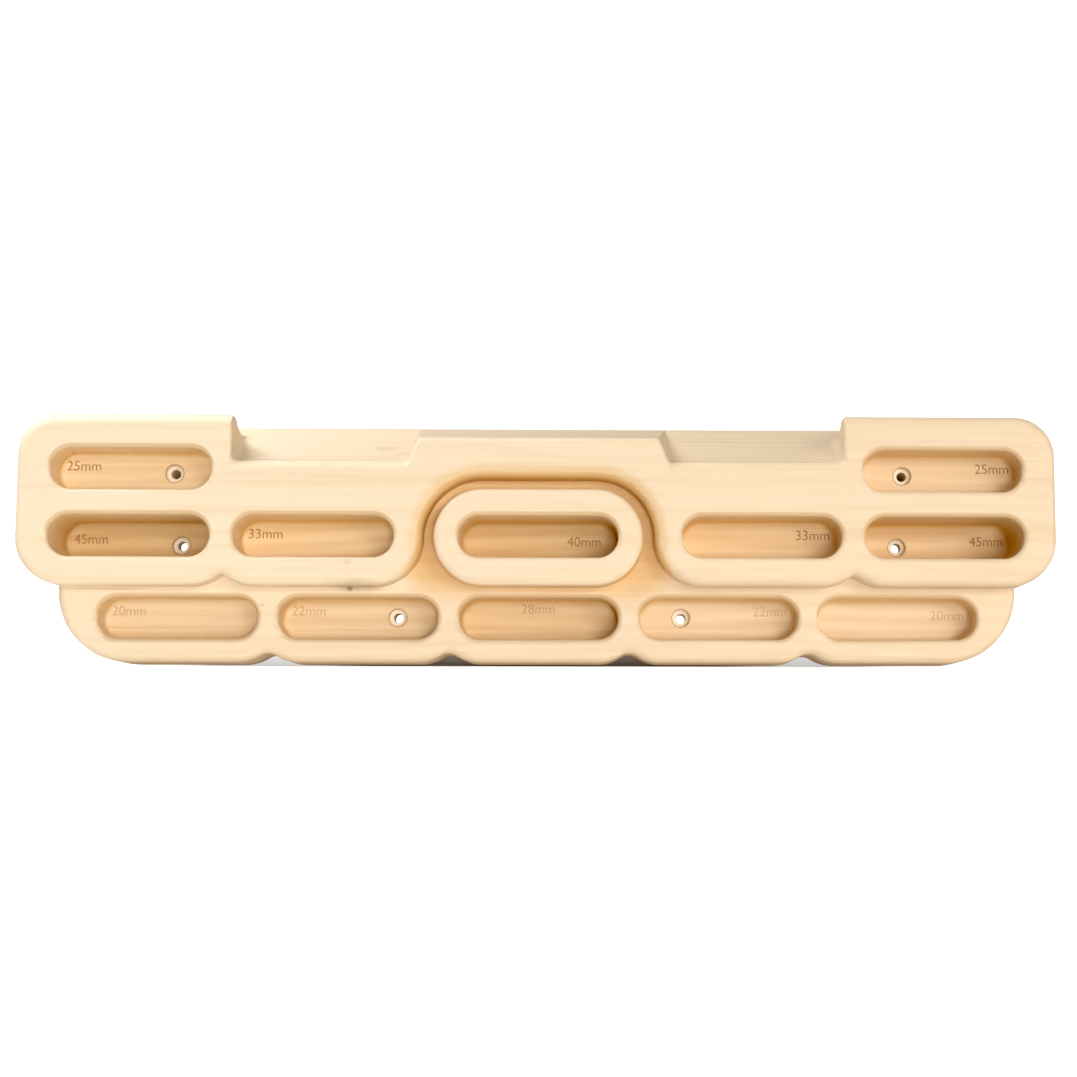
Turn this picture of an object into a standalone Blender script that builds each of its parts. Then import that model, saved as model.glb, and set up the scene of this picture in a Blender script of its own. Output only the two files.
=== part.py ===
"""Wooden hangboard: a blank glued up from seven staves, then milled as one board.

Metres, +Z up, the front faces -Y and the flat back lies on the plane Y = 0.
Depths are measured back from the front face of the thick upper part.
"""
import math

import bmesh
import bpy

MM = 0.001

# Blank
BOARD_WIDTH = 650 * MM
BOARD_HEIGHT = 155 * MM
BOARD_DEPTH = 58 * MM
BOARD_TOP = BOARD_HEIGHT / 2
BOARD_BOTTOM = -BOARD_HEIGHT / 2
STEP_DEPTH = 18.5 * MM
OVERRUN = 2 * MM

# Staves, from the bottom up: the heights of the glue lines between them
GLUE_LINES = (-55.4 * MM, -32.7 * MM, -16.8 * MM, 16.8 * MM, 34.85 * MM, 48.7 * MM)
GLUE_GAP = 0.3 * MM
STAVE_NAMES = (
    "stave_1_bottom",
    "stave_2_lower_pockets",
    "stave_3_step",
    "stave_4_middle",
    "stave_5_arch",
    "stave_6_upper_pockets",
    "stave_7_top",
)
STAVE_COLORS = (
    (0.80, 0.63, 0.41),
    (0.82, 0.66, 0.44),
    (0.79, 0.62, 0.40),
    (0.83, 0.67, 0.45),
    (0.81, 0.64, 0.42),
    (0.82, 0.65, 0.43),
    (0.80, 0.64, 0.42),
)
STAVE_ROUGHNESS = 0.55

# Pockets: one racetrack shape, cut to several depths
POCKET_LENGTH = 100 * MM
POCKET_HEIGHT = 26 * MM
POCKET_RADIUS = POCKET_HEIGHT / 2
POCKET_REACH = POCKET_LENGTH / 2 - POCKET_RADIUS
POCKET_LIP = 3 * MM
POCKET_FLOOR_FILLET = 3 * MM
TOP_ROW_Z = 42.1 * MM
MIDDLE_ROW_Z = 0.0
BOTTOM_ROW_Z = -49.8 * MM
# distance from the centre line, depth below the face that the row is cut in
TOP_ROW = ((254 * MM, 25 * MM),)
MIDDLE_ROW = ((254.5 * MM, 45 * MM), (140 * MM, 33 * MM), (0.0, 40 * MM))
BOTTOM_ROW = ((226.6 * MM, 20 * MM), (113.5 * MM, 22 * MM), (0.0, 28 * MM))

# Outline of the upper part: bulges around the ends of the middle row, and the corners
BULGE_RADIUS = 30.5 * MM
SCALLOP_FILLET = 4 * MM
LOWER_CORNER_X = BOARD_WIDTH / 2 - BULGE_RADIUS
TOP_CORNER_RADIUS = 25 * MM
TOP_CORNER_X = BOARD_WIDTH / 2 - TOP_CORNER_RADIUS
TOP_CORNER_Z = BOARD_TOP - TOP_CORNER_RADIUS
FRONT_ROUND = 5.4 * MM
EAR_TOP_ROUND = 9 * MM

# Boss around the middle pocket and the channel that arches over it
BOSS_REACH = 35 * MM
BOSS_RADIUS = 30.6 * MM
BOSS_ROUND = 4.8 * MM
ARCH_RADIUS = MIDDLE_ROW[1][0] - POCKET_REACH - BULGE_RADIUS - BOSS_REACH
ARCH_ROUND = 9 * MM

# Outline of the lower part
LOWER_HALF_WIDTH = 302 * MM
LOWER_CORNER_RADIUS = 45 * MM
LOWER_BULGE_RADIUS = BOTTOM_ROW_Z - BOARD_BOTTOM
LOWER_SCALLOP_FILLET = 9 * MM
LOWER_ROUND = 5.4 * MM
LOWER_HIDDEN_TOP = 46 * MM
LOWER_HIDDEN_CORNER = 8 * MM

# Slopers: two recesses in the top, between the ears and the middle block
SLOPER_CORNER_Z = 45.5 * MM
SLOPER_ROUND = 8.5 * MM
EAR_WALL_X = 192 * MM
EAR_BASE_FILLET = 5 * MM
EAR_TOP_EDGE = 2.5 * MM
RECESS_EDGE = 2.4 * MM
BLOCK_WALL_X = 83 * MM
BLOCK_WALL_Z = 43.5 * MM
BLOCK_WALL_LEAN = 0.424
BLOCK_WALL_TURN = 0.214
BLOCK_EDGE = 2.5 * MM
BLOCK_BASE_FILLET = 3 * MM
BLOCK_CORNER_Z = 61.9 * MM
BLOCK_ROUND = 4 * MM
BLOCK_CUT_REACH = 88 * MM
CUT_TOP = BOARD_TOP + 12 * MM

# Jug groove in the top of each ear
GROOVE_FRONT = 13 * MM
GROOVE_BACK_LEDGE = 1.5 * MM
GROOVE_BACK = BOARD_DEPTH - GROOVE_BACK_LEDGE
GROOVE_SINK = 8.5 * MM
GROOVE_START_X = 186 * MM
GROOVE_STRAIGHT_X = 280 * MM
GROOVE_END_LENGTH = 24 * MM

# Screw holes: distance from the centre line, height, depth of the pocket floor
SCREW_HEAD_RADIUS = 5.6 * MM
SCREW_HEAD_SINK = 4 * MM
SCREW_SHANK_RADIUS = 3.1 * MM
SCREW_HOLES = (
    (232 * MM, 42.4 * MM, TOP_ROW[0][1]),
    (231 * MM, -1.5 * MM, MIDDLE_ROW[0][1]),
    (90.6 * MM, -48 * MM, STEP_DEPTH + BOTTOM_ROW[1][1]),
)

# Facets
EDGE_STEPS = 4
LIP_STEPS = 3
FLOOR_STEPS = 2
END_STEPS = 10
HOLE_STEPS = 16
SMOOTH_ANGLE = math.radians(32)
MERGE_DISTANCE = 0.002 * MM


def remove_scene_objects():
    for item in list(bpy.data.objects):
        bpy.data.objects.remove(item)


def arc(centre, radius, start, end, steps, edge=(0.0, 0.0), hollow=False):
    """Arc of an outline as (x, z, outward normal, edge radius); a hollow arc has wood around it."""
    points = []
    for step in range(steps + 1):
        share = step / steps
        angle = math.radians(start + (end - start) * share)
        cos, sin = math.cos(angle), math.sin(angle)
        side = -1.0 if hollow else 1.0
        x = centre[0] + radius * cos
        z = centre[1] + radius * sin
        points.append((x, z, side * cos, side * sin, edge[0] + (edge[1] - edge[0]) * share))
    return points


def racetrack(x, z, reach, radius, steps, edge):
    right = arc((x + reach, z), radius, -90, 90, steps, (edge, edge))
    left = arc((x - reach, z), radius, 90, 270, steps, (edge, edge))
    return right + left


def scallop(left_x, right_x, centre_z, radius, fillet, edge):
    """The end of one bulge, the hollow between two bulges, and the start of the next one."""
    half = (right_x - left_x) / 2
    drop = math.sqrt((radius + fillet) ** 2 - half ** 2)
    lean = math.degrees(math.atan2(half, drop))
    edges = (edge, edge)
    before = arc((left_x, centre_z), radius, 270, 270 + lean, 3, edges)
    dip = arc((left_x + half, centre_z - drop), fillet, 90 + lean, 90 - lean, 4, edges, hollow=True)
    after = arc((right_x, centre_z), radius, 270 - lean, 270, 3, edges)
    return before + dip[1:-1] + after


def upper_outline():
    """Counter-clockwise from the front: lower edge with the arch, right side, top, left side."""
    outer = MIDDLE_ROW[0][0] - POCKET_REACH
    inner = MIDDLE_ROW[1][0] + POCKET_REACH
    side = MIDDLE_ROW[1][0] - POCKET_REACH
    front = (FRONT_ROUND, FRONT_ROUND)
    arch = (ARCH_ROUND, ARCH_ROUND)
    points = arc((-LOWER_CORNER_X, 0.0), BULGE_RADIUS, 180, 270, 8, front)
    points += scallop(-outer, -inner, MIDDLE_ROW_Z, BULGE_RADIUS, SCALLOP_FILLET, FRONT_ROUND)
    points += arc((-side, 0.0), BULGE_RADIUS, 270, 360, 8, (FRONT_ROUND, ARCH_ROUND))
    points += arc((-BOSS_REACH, 0.0), ARCH_RADIUS, 180, 90, 8, arch, hollow=True)[1:]
    points += arc((BOSS_REACH, 0.0), ARCH_RADIUS, 90, 0, 8, arch, hollow=True)
    points += arc((side, 0.0), BULGE_RADIUS, 180, 270, 8, (ARCH_ROUND, FRONT_ROUND))[1:]
    points += scallop(inner, outer, MIDDLE_ROW_Z, BULGE_RADIUS, SCALLOP_FILLET, FRONT_ROUND)
    points += arc((LOWER_CORNER_X, 0.0), BULGE_RADIUS, 270, 360, 8, front)
    ear = (FRONT_ROUND, EAR_TOP_ROUND)
    points += arc((TOP_CORNER_X, TOP_CORNER_Z), TOP_CORNER_RADIUS, 0, 90, 7, ear)
    points += arc((-TOP_CORNER_X, TOP_CORNER_Z), TOP_CORNER_RADIUS, 90, 180, 7, ear[::-1])
    return points


def lower_outline():
    """Counter-clockwise from the front; its top lies hidden inside the upper part."""
    edge = (LOWER_ROUND, LOWER_ROUND)
    corner = (LOWER_HALF_WIDTH - LOWER_CORNER_RADIUS, BOARD_BOTTOM + LOWER_CORNER_RADIUS)
    ends = []
    for x, _depth in BOTTOM_ROW:
        ends.append((x - POCKET_REACH, x + POCKET_REACH))
    outer, middle, centre = ends
    z, radius, fillet = BOTTOM_ROW_Z, LOWER_BULGE_RADIUS, LOWER_SCALLOP_FILLET
    points = arc((-corner[0], corner[1]), LOWER_CORNER_RADIUS, 180, 270, 8, edge)
    points += scallop(-outer[0], -middle[1], z, radius, fillet, LOWER_ROUND)
    points += scallop(-middle[0], -centre[1], z, radius, fillet, LOWER_ROUND)
    points += scallop(centre[1], middle[0], z, radius, fillet, LOWER_ROUND)
    points += scallop(middle[1], outer[0], z, radius, fillet, LOWER_ROUND)
    points += arc(corner, LOWER_CORNER_RADIUS, 270, 360, 8, edge)
    hidden = (LOWER_HALF_WIDTH - LOWER_HIDDEN_CORNER, LOWER_HIDDEN_TOP - LOWER_HIDDEN_CORNER)
    points += arc(hidden, LOWER_HIDDEN_CORNER, 0, 90, 1, edge)
    points += arc((-hidden[0], hidden[1]), LOWER_HIDDEN_CORNER, 90, 180, 1, edge)
    return points


def ring_at(outline, inset, depth):
    """One ring of a loft; inset and depth are functions of the point's edge radius."""
    ring = []
    for x, z, normal_x, normal_z, edge in outline:
        shift = inset(edge)
        y = depth(edge) - BOARD_DEPTH
        ring.append((x - normal_x * shift, y, z - normal_z * shift))
    return ring


def rounded_rings(outline, face, steps):
    """Rings of a quarter round, from the side wall up to the face."""
    rings = []
    for step in range(steps + 1):
        angle = math.radians(90 * step / steps)
        inset = 1 - math.cos(angle)
        sink = 1 - math.sin(angle)
        rings.append(ring_at(outline, lambda r, k=inset: r * k, lambda r, k=sink: face + r * k))
    return rings


def tier(name, outline, face, back):
    rings = [ring_at(outline, lambda r: 0.0, lambda r: back)]
    rings += rounded_rings(outline, face, EDGE_STEPS)
    return loft(name, rings)


def pocket_rings(x, z, face, depth):
    outline = racetrack(x, z, POCKET_REACH, POCKET_RADIUS, END_STEPS, POCKET_LIP)
    rings = [ring_at(outline, lambda r: -r, lambda r: face - OVERRUN)]
    for step in range(LIP_STEPS + 1):
        angle = math.radians(90 - 90 * step / LIP_STEPS)
        outset = 1 - math.cos(angle)
        sink = 1 - math.sin(angle)
        rings.append(ring_at(outline, lambda r, k=outset: -r * k, lambda r, k=sink: face + r * k))
    floor = face + depth
    for step in range(FLOOR_STEPS + 1):
        angle = math.radians(90 * step / FLOOR_STEPS)
        inset = POCKET_FLOOR_FILLET * (1 - math.cos(angle))
        level = floor - POCKET_FLOOR_FILLET * (1 - math.sin(angle))
        rings.append(ring_at(outline, lambda r, k=inset: k, lambda r, k=level: k))
    return rings


def add_loft(bm, rings):
    """A closed body from rings that have the same number of points."""
    loops = []
    for ring in rings:
        loops.append([bm.verts.new(point) for point in ring])
    for lower, upper in zip(loops, loops[1:]):
        for index in range(len(lower)):
            after = (index + 1) % len(lower)
            bm.faces.new((lower[index], lower[after], upper[after], upper[index]))
    bm.faces.new(loops[0])
    bm.faces.new(loops[-1])


def mesh_object(name, bm):
    bmesh.ops.recalc_face_normals(bm, faces=bm.faces)
    mesh = bpy.data.meshes.new(name)
    bm.to_mesh(mesh)
    bm.free()
    item = bpy.data.objects.new(name, mesh)
    bpy.context.scene.collection.objects.link(item)
    return item


def loft(name, rings):
    return lofts(name, [rings])


def lofts(name, bodies):
    bm = bmesh.new()
    for rings in bodies:
        add_loft(bm, rings)
    return mesh_object(name, bm)


def box(name, low, high):
    bm = bmesh.new()
    bmesh.ops.create_cube(bm, size=1.0)
    for vert in bm.verts:
        for axis in range(3):
            vert.co[axis] = high[axis] if vert.co[axis] > 0 else low[axis]
    return mesh_object(name, bm)


def combine(target, tool, operation):
    """Applies one exact Boolean and removes the tool."""
    modifier = target.modifiers.new("milling", "BOOLEAN")
    modifier.operation = operation
    modifier.solver = "EXACT"
    modifier.object = tool
    graph = bpy.context.evaluated_depsgraph_get()
    mesh = bpy.data.meshes.new_from_object(target.evaluated_get(graph))
    target.modifiers.clear()
    target.data = mesh
    bpy.data.objects.remove(tool)


def sloping_top(depth, corner, rise, radius):
    """Height of a top that slopes up to the back edge, behind a rounded front corner."""
    slope = math.atan(rise / BOARD_DEPTH)
    start = corner - radius * math.tan((math.pi / 2 - slope) / 2)
    if depth <= 0:
        return start
    if depth < radius * (1 - math.sin(slope)):
        return start + math.sqrt(radius ** 2 - (radius - depth) ** 2)
    return corner + depth * math.tan(slope)


def sloper_height(depth):
    return sloping_top(depth, SLOPER_CORNER_Z, BOARD_TOP - SLOPER_CORNER_Z, SLOPER_ROUND)


def block_height(depth):
    return sloping_top(depth, BLOCK_CORNER_Z, BOARD_TOP - BLOCK_CORNER_Z, BLOCK_ROUND)


def mouth(depth):
    """How far the side walls of a recess give way near the front face."""
    if depth <= 0:
        return RECESS_EDGE
    if depth < RECESS_EDGE:
        return RECESS_EDGE - math.sqrt(RECESS_EDGE ** 2 - (RECESS_EDGE - depth) ** 2)
    return 0.0


def block_wall(depth, z):
    lean = BLOCK_WALL_LEAN * (z - BLOCK_WALL_Z)
    return BLOCK_WALL_X - lean + BLOCK_WALL_TURN * depth - mouth(depth)


def recess_section(depth, side):
    """Cut across a sloper recess at one depth, from the block to the ear."""
    floor = sloper_height(depth)
    top = max(block_height(depth), floor + 0.1 * MM)
    wall = top - floor
    edge = min(BLOCK_EDGE, 0.4 * wall)
    fillet = min(BLOCK_BASE_FILLET, 0.4 * wall)
    turn = math.degrees(math.atan(BLOCK_WALL_LEAN))
    across = math.sqrt(1 + BLOCK_WALL_LEAN ** 2)
    edge_x = block_wall(depth, top - edge) - edge * across
    base_x = block_wall(depth, floor + fillet) + fillet * across
    ear = EAR_WALL_X + mouth(depth)
    ear_edge = (ear + EAR_TOP_EDGE, BOARD_TOP - EAR_TOP_EDGE)
    points = [(edge_x, CUT_TOP)]
    points += arc((edge_x, top - edge), edge, 90, turn, 3)
    points += arc((base_x, floor + fillet), fillet, 180 + turn, 270, 3)
    points += arc((ear - EAR_BASE_FILLET, floor + EAR_BASE_FILLET), EAR_BASE_FILLET, 270, 360, 4)
    return points, ear_edge, side


def recess_rings(side):
    """The rings of one sloper recess, from in front of the board to behind it."""
    curve_end = SLOPER_ROUND * (1 - math.sin(math.atan((BOARD_TOP - SLOPER_CORNER_Z) / BOARD_DEPTH)))
    depths = [-OVERRUN, 0.0, 0.3 * MM, 0.9 * MM, 1.6 * MM, RECESS_EDGE, 3.3 * MM, curve_end]
    for share in (0.3, 0.65, 0.85, 0.95, 1.0):
        depths.append(curve_end + (BOARD_DEPTH - curve_end) * share)
    depths.append(BOARD_DEPTH + OVERRUN)
    rings = []
    for depth in depths:
        points, ear_edge, side = recess_section(depth, side)
        if ear_edge[1] > points[-1][1]:
            points += arc(ear_edge, EAR_TOP_EDGE, 180, 90, 3)
        else:
            points += [(ear_edge[0], points[-1][1] + 0.1 * MM * step) for step in range(4)]
        points.append((ear_edge[0], CUT_TOP))
        rings.append([(side * point[0], depth - BOARD_DEPTH, point[1]) for point in points])
    return rings


def block_rings():
    """A prism along X that cuts the sloping top of the middle block."""
    curve_end = BLOCK_ROUND * (1 - math.sin(math.atan((BOARD_TOP - BLOCK_CORNER_Z) / BOARD_DEPTH)))
    profile = [(-OVERRUN, CUT_TOP), (-OVERRUN, block_height(0.0))]
    for depth in (0.0, 0.15 * MM, 0.6 * MM, 1.3 * MM, curve_end, BOARD_DEPTH + OVERRUN):
        profile.append((depth, block_height(depth)))
    profile.append((BOARD_DEPTH + OVERRUN, CUT_TOP))
    rings = []
    for x in (-BLOCK_CUT_REACH, BLOCK_CUT_REACH):
        rings.append([(x, depth - BOARD_DEPTH, z) for depth, z in profile])
    return rings


def groove_rings(side):
    """The scooped groove behind the lip of one ear, with a rounded blind end."""
    half = (GROOVE_BACK - GROOVE_FRONT) / 2
    middle = (GROOVE_BACK + GROOVE_FRONT) / 2
    radius = (half ** 2 + GROOVE_SINK ** 2) / (2 * GROOVE_SINK)
    spread = math.asin(half / radius)
    stations = [(GROOVE_START_X, 1.0), (GROOVE_STRAIGHT_X, 1.0)]
    for step in range(1, 5):
        angle = math.radians(21 * step)
        stations.append((GROOVE_STRAIGHT_X + GROOVE_END_LENGTH * math.sin(angle), math.cos(angle)))
    rings = []
    for x, scale in stations:
        ring = [(side * x, middle - half * scale - BOARD_DEPTH, CUT_TOP)]
        for step in range(9):
            angle = spread * (step / 4 - 1)
            y = middle + radius * math.sin(angle) * scale - BOARD_DEPTH
            z = BOARD_TOP - (radius * math.cos(angle) - radius + GROOVE_SINK) * scale
            ring.append((side * x, y, z))
        ring.append((side * x, middle + half * scale - BOARD_DEPTH, CUT_TOP))
        rings.append(ring)
    return rings


def hole_rings(x, z, floor):
    """Counterbore and shank of one screw hole."""
    seat = floor + SCREW_HEAD_SINK
    levels = [
        (SCREW_HEAD_RADIUS, floor - OVERRUN),
        (SCREW_HEAD_RADIUS, seat),
        (SCREW_SHANK_RADIUS, seat),
        (SCREW_SHANK_RADIUS, BOARD_DEPTH + 2 * OVERRUN),
    ]
    rings = []
    for radius, depth in levels:
        circle = arc((x, z), radius, 0, 360, HOLE_STEPS)[:-1]
        rings.append([(point[0], depth - BOARD_DEPTH, point[1]) for point in circle])
    return rings


def both_sides(x):
    return (x,) if x == 0 else (-x, x)


def all_pockets():
    bodies = []
    rows = (
        (TOP_ROW, TOP_ROW_Z, 0.0),
        (MIDDLE_ROW, MIDDLE_ROW_Z, 0.0),
        (BOTTOM_ROW, BOTTOM_ROW_Z, STEP_DEPTH),
    )
    for row, z, face in rows:
        for offset, depth in row:
            for x in both_sides(offset):
                bodies.append(pocket_rings(x, z, face, depth))
    return bodies


def all_holes():
    bodies = []
    for offset, z, floor in SCREW_HOLES:
        for x in both_sides(offset):
            bodies.append(hole_rings(x, z, floor))
    return bodies


def milled_blank():
    """The whole board as one body, before it is divided at the glue lines."""
    back = BOARD_DEPTH + OVERRUN
    blank = tier("blank", upper_outline(), 0.0, back)
    combine(blank, tier("lower_tier", lower_outline(), STEP_DEPTH, back), "UNION")
    boss = racetrack(0.0, MIDDLE_ROW_Z, BOSS_REACH, BOSS_RADIUS, 12, BOSS_ROUND)
    combine(blank, tier("boss", boss, 0.0, STEP_DEPTH + OVERRUN), "UNION")
    combine(blank, lofts("recesses", [recess_rings(-1), recess_rings(1)]), "DIFFERENCE")
    combine(blank, loft("block_top", block_rings()), "DIFFERENCE")
    combine(blank, lofts("grooves", [groove_rings(-1), groove_rings(1)]), "DIFFERENCE")
    combine(blank, lofts("pockets", all_pockets()), "DIFFERENCE")
    combine(blank, lofts("holes", all_holes()), "DIFFERENCE")
    return blank


def wood_material(name, color):
    material = bpy.data.materials.new(name)
    material.use_nodes = True
    shader = material.node_tree.nodes["Principled BSDF"]
    shader.inputs["Base Color"].default_value = (*color, 1.0)
    shader.inputs["Roughness"].default_value = STAVE_ROUGHNESS
    return material


def tidy_mesh(item):
    """Joins doubled points, leaves triangles and marks the sharp edges."""
    bm = bmesh.new()
    bm.from_mesh(item.data)
    bmesh.ops.remove_doubles(bm, verts=bm.verts, dist=MERGE_DISTANCE)
    bmesh.ops.dissolve_degenerate(bm, dist=MERGE_DISTANCE, edges=bm.edges)
    bmesh.ops.triangulate(bm, faces=bm.faces)
    bmesh.ops.recalc_face_normals(bm, faces=bm.faces)
    bm.to_mesh(item.data)
    bm.free()
    for polygon in item.data.polygons:
        polygon.use_smooth = True
    item.data.set_sharp_from_angle(angle=SMOOTH_ANGLE)


def cut_stave(blank, index):
    """The slice of the milled board between two glue lines."""
    name = STAVE_NAMES[index]
    item = bpy.data.objects.new(name, blank.data.copy())
    bpy.context.scene.collection.objects.link(item)
    low = BOARD_BOTTOM - OVERRUN if index == 0 else GLUE_LINES[index - 1] + GLUE_GAP / 2
    last = index == len(STAVE_NAMES) - 1
    high = BOARD_TOP + OVERRUN if last else GLUE_LINES[index] - GLUE_GAP / 2
    reach = BOARD_WIDTH / 2 + OVERRUN
    slab = box("slab", (-reach, -BOARD_DEPTH - OVERRUN, low), (reach, 0.0, high))
    combine(item, slab, "INTERSECT")
    item.data.name = name
    item.data.materials.clear()
    item.data.materials.append(wood_material(name + "_wood", STAVE_COLORS[index]))
    tidy_mesh(item)


def build():
    remove_scene_objects()
    blank = milled_blank()
    for index in range(len(STAVE_NAMES)):
        cut_stave(blank, index)
    bpy.data.objects.remove(blank)


build()
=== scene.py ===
import math

import bmesh
import bpy
from mathutils import Matrix, Vector


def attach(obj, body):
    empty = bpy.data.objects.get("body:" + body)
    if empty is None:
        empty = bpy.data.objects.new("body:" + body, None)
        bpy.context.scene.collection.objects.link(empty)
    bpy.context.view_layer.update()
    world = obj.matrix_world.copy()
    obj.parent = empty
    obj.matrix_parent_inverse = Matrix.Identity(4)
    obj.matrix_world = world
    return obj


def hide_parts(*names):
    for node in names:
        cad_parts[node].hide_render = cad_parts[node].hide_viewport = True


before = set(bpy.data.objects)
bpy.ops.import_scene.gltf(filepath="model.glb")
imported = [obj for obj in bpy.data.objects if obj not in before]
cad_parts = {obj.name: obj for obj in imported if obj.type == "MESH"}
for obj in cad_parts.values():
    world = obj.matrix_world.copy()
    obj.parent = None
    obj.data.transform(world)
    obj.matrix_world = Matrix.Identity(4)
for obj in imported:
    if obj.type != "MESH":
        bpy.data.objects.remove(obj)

# Wooden hangboard: a blank glued up from seven staves and milled as one board.
# Metres, +Z up; the front faces -Y and the flat back lies on the plane Y = 0.
# Depths are measured back from the front face of the thick upper part.

MM = 0.001

# Blank
BOARD_WIDTH = 650 * MM
BOARD_HEIGHT = 155 * MM
BOARD_DEPTH = 58 * MM
BOARD_TOP = BOARD_HEIGHT / 2
BOARD_BOTTOM = -BOARD_HEIGHT / 2
STEP_DEPTH = 18.5 * MM
OVERRUN = 2 * MM

# Staves, from the bottom up: the heights of the glue lines between them
GLUE_LINES = (-55.4 * MM, -32.7 * MM, -16.8 * MM, 16.8 * MM, 34.85 * MM, 48.7 * MM)
GLUE_GAP = 0.01 * MM

# Pockets: one racetrack shape, cut to several depths
POCKET_LENGTH = 100 * MM
POCKET_HEIGHT = 26 * MM
POCKET_RADIUS = POCKET_HEIGHT / 2
POCKET_REACH = POCKET_LENGTH / 2 - POCKET_RADIUS
POCKET_LIP = 3 * MM
POCKET_FLOOR_FILLET = 3 * MM
TOP_ROW_Z = 42.1 * MM
BOTTOM_ROW_Z = -49.8 * MM
TOP_ROW = ((254 * MM, 25 * MM),)
MIDDLE_ROW = ((254.5 * MM, 45 * MM), (140 * MM, 33 * MM), (0.0, 40 * MM))
BOTTOM_ROW = ((226.6 * MM, 20 * MM), (113.5 * MM, 22 * MM), (0.0, 28 * MM))

# Upper part
BULGE_RADIUS = 30.5 * MM
SCALLOP_FILLET = 4 * MM
LOWER_CORNER_X = BOARD_WIDTH / 2 - BULGE_RADIUS
TOP_CORNER_RADIUS = 25 * MM
TOP_CORNER_X = BOARD_WIDTH / 2 - TOP_CORNER_RADIUS
TOP_CORNER_Z = BOARD_TOP - TOP_CORNER_RADIUS
FRONT_ROUND = 5.4 * MM
EAR_TOP_ROUND = 9 * MM

# Boss around the middle pocket and the channel that arches over it
BOSS_REACH = 35 * MM
BOSS_RADIUS = 30.6 * MM
BOSS_ROUND = 4.8 * MM
ARCH_RADIUS = MIDDLE_ROW[1][0] - POCKET_REACH - BULGE_RADIUS - BOSS_REACH
ARCH_ROUND = 9 * MM

# Lower part
LOWER_HALF_WIDTH = 302 * MM
LOWER_CORNER_RADIUS = 45 * MM
LOWER_BULGE_RADIUS = BOTTOM_ROW_Z - BOARD_BOTTOM
LOWER_SCALLOP_FILLET = 9 * MM
LOWER_ROUND = 5.4 * MM
LOWER_HIDDEN_TOP = 46 * MM
LOWER_HIDDEN_CORNER = 8 * MM

WIDEST_ROUND = max(FRONT_ROUND, EAR_TOP_ROUND, BOSS_ROUND, ARCH_ROUND, LOWER_ROUND)

# Slopers: two recesses in the top, between the ears and the middle block
SLOPER_CORNER_Z = 45.5 * MM
SLOPER_ROUND = 8.5 * MM
EAR_WALL_X = 192 * MM
EAR_BASE_FILLET = 5 * MM
EAR_TOP_EDGE = 2.5 * MM
RECESS_EDGE = 2.4 * MM
BLOCK_WALL_X = 83 * MM
BLOCK_WALL_Z = 43.5 * MM
BLOCK_WALL_LEAN = 0.424
BLOCK_WALL_TURN = 0.214
BLOCK_EDGE = 2.5 * MM
BLOCK_BASE_FILLET = 3 * MM
BLOCK_CORNER_Z = 61.9 * MM
BLOCK_ROUND = 4 * MM
BLOCK_CUT_REACH = 88 * MM
CUT_TOP = BOARD_TOP + 12 * MM

# Jug groove in the top of each ear
GROOVE_FRONT = 13 * MM
GROOVE_BACK = BOARD_DEPTH - 1.5 * MM
GROOVE_SINK = 8.5 * MM
GROOVE_START_X = 186 * MM
GROOVE_STRAIGHT_X = 280 * MM
GROOVE_END_LENGTH = 24 * MM

# Screw holes: distance from the centre line, height, depth of the pocket floor
SCREW_HEAD_RADIUS = 5.6 * MM
SCREW_HEAD_SINK = 4 * MM
SCREW_SHANK_RADIUS = 3.1 * MM
SCREW_HOLES = (
    (232 * MM, 42.4 * MM, TOP_ROW[0][1]),
    (231 * MM, -1.5 * MM, MIDDLE_ROW[0][1]),
    (90.6 * MM, -48 * MM, STEP_DEPTH + BOTTOM_ROW[1][1]),
)

# Depth numbers burnt into the pocket floors: text, middle (x, z) and depth of the floor in mm
LABEL_HEIGHT = 6.2 * MM
LABEL_WIDTH = 21.5 * MM
LABEL_SINK = 0.35 * MM
LABEL_CURVE_STEPS, CLEANING_PASSES = 3, 2
LABELS = (
    ("25mm", -289.5, 47.2, 25), ("25mm", 289.5, 47.2, 25),
    ("45mm", -289, 2.6, 45), ("45mm", 289, 2.6, 45),
    ("33mm", -175, 5, 33), ("33mm", 175, 5, 33),
    ("40mm", 28.2, 1.2, 40),
    ("20mm", -261.5, -44, 38.5), ("20mm", 261.5, -46, 38.5),
    ("22mm", -147.6, -43.6, 40.5), ("22mm", 147.6, -43.6, 40.5),
    ("28mm", -1.3, -41.7, 46.5),
)

# Wood colours, and the colours of painted shade and bounce light (red, green, blue)
OUTSIDE_LIGHT, OUTSIDE_DARK = (0.850, 0.675, 0.465), (0.740, 0.540, 0.325)
OUTSIDE_CLOUD = (0.835, 0.635, 0.420)
# Pocket colours: warmer, darker tones that stand in for painted bounce light and shade deep in the
# recesses
POCKET_LIGHT, POCKET_DARK = (0.925, 0.675, 0.360), (0.800, 0.525, 0.235)
CHANNEL_SHADE_BROWN = (0.62, 0.33, 0.11)
SHADED_BROWN = (0.30, 0.14, 0.02)
LIP_SHADE_BROWN = (0.66, 0.44, 0.23)
END_GRAIN_BROWN = (0.58, 0.36, 0.15)
MARK_BROWN = (0.34, 0.20, 0.10)
# Shares of painted shade: channel floor, arch floor and channel walls; then pocket ends, deep
# floors and upper lips
CHANNEL_FLOOR_SHARE, ARCH_FLOOR_SHARE, CHANNEL_WALL_SHARE = 0.52, 0.18, 0.45
SHADED_END_SHARE, DEEP_FLOOR_SHARE, LIP_SHARE = 0.80, 0.26, 0.75
DRILLED_PALE = (0.96, 0.88, 0.74)
BURNT_BROWN = (0.34, 0.155, 0.05)

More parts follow.
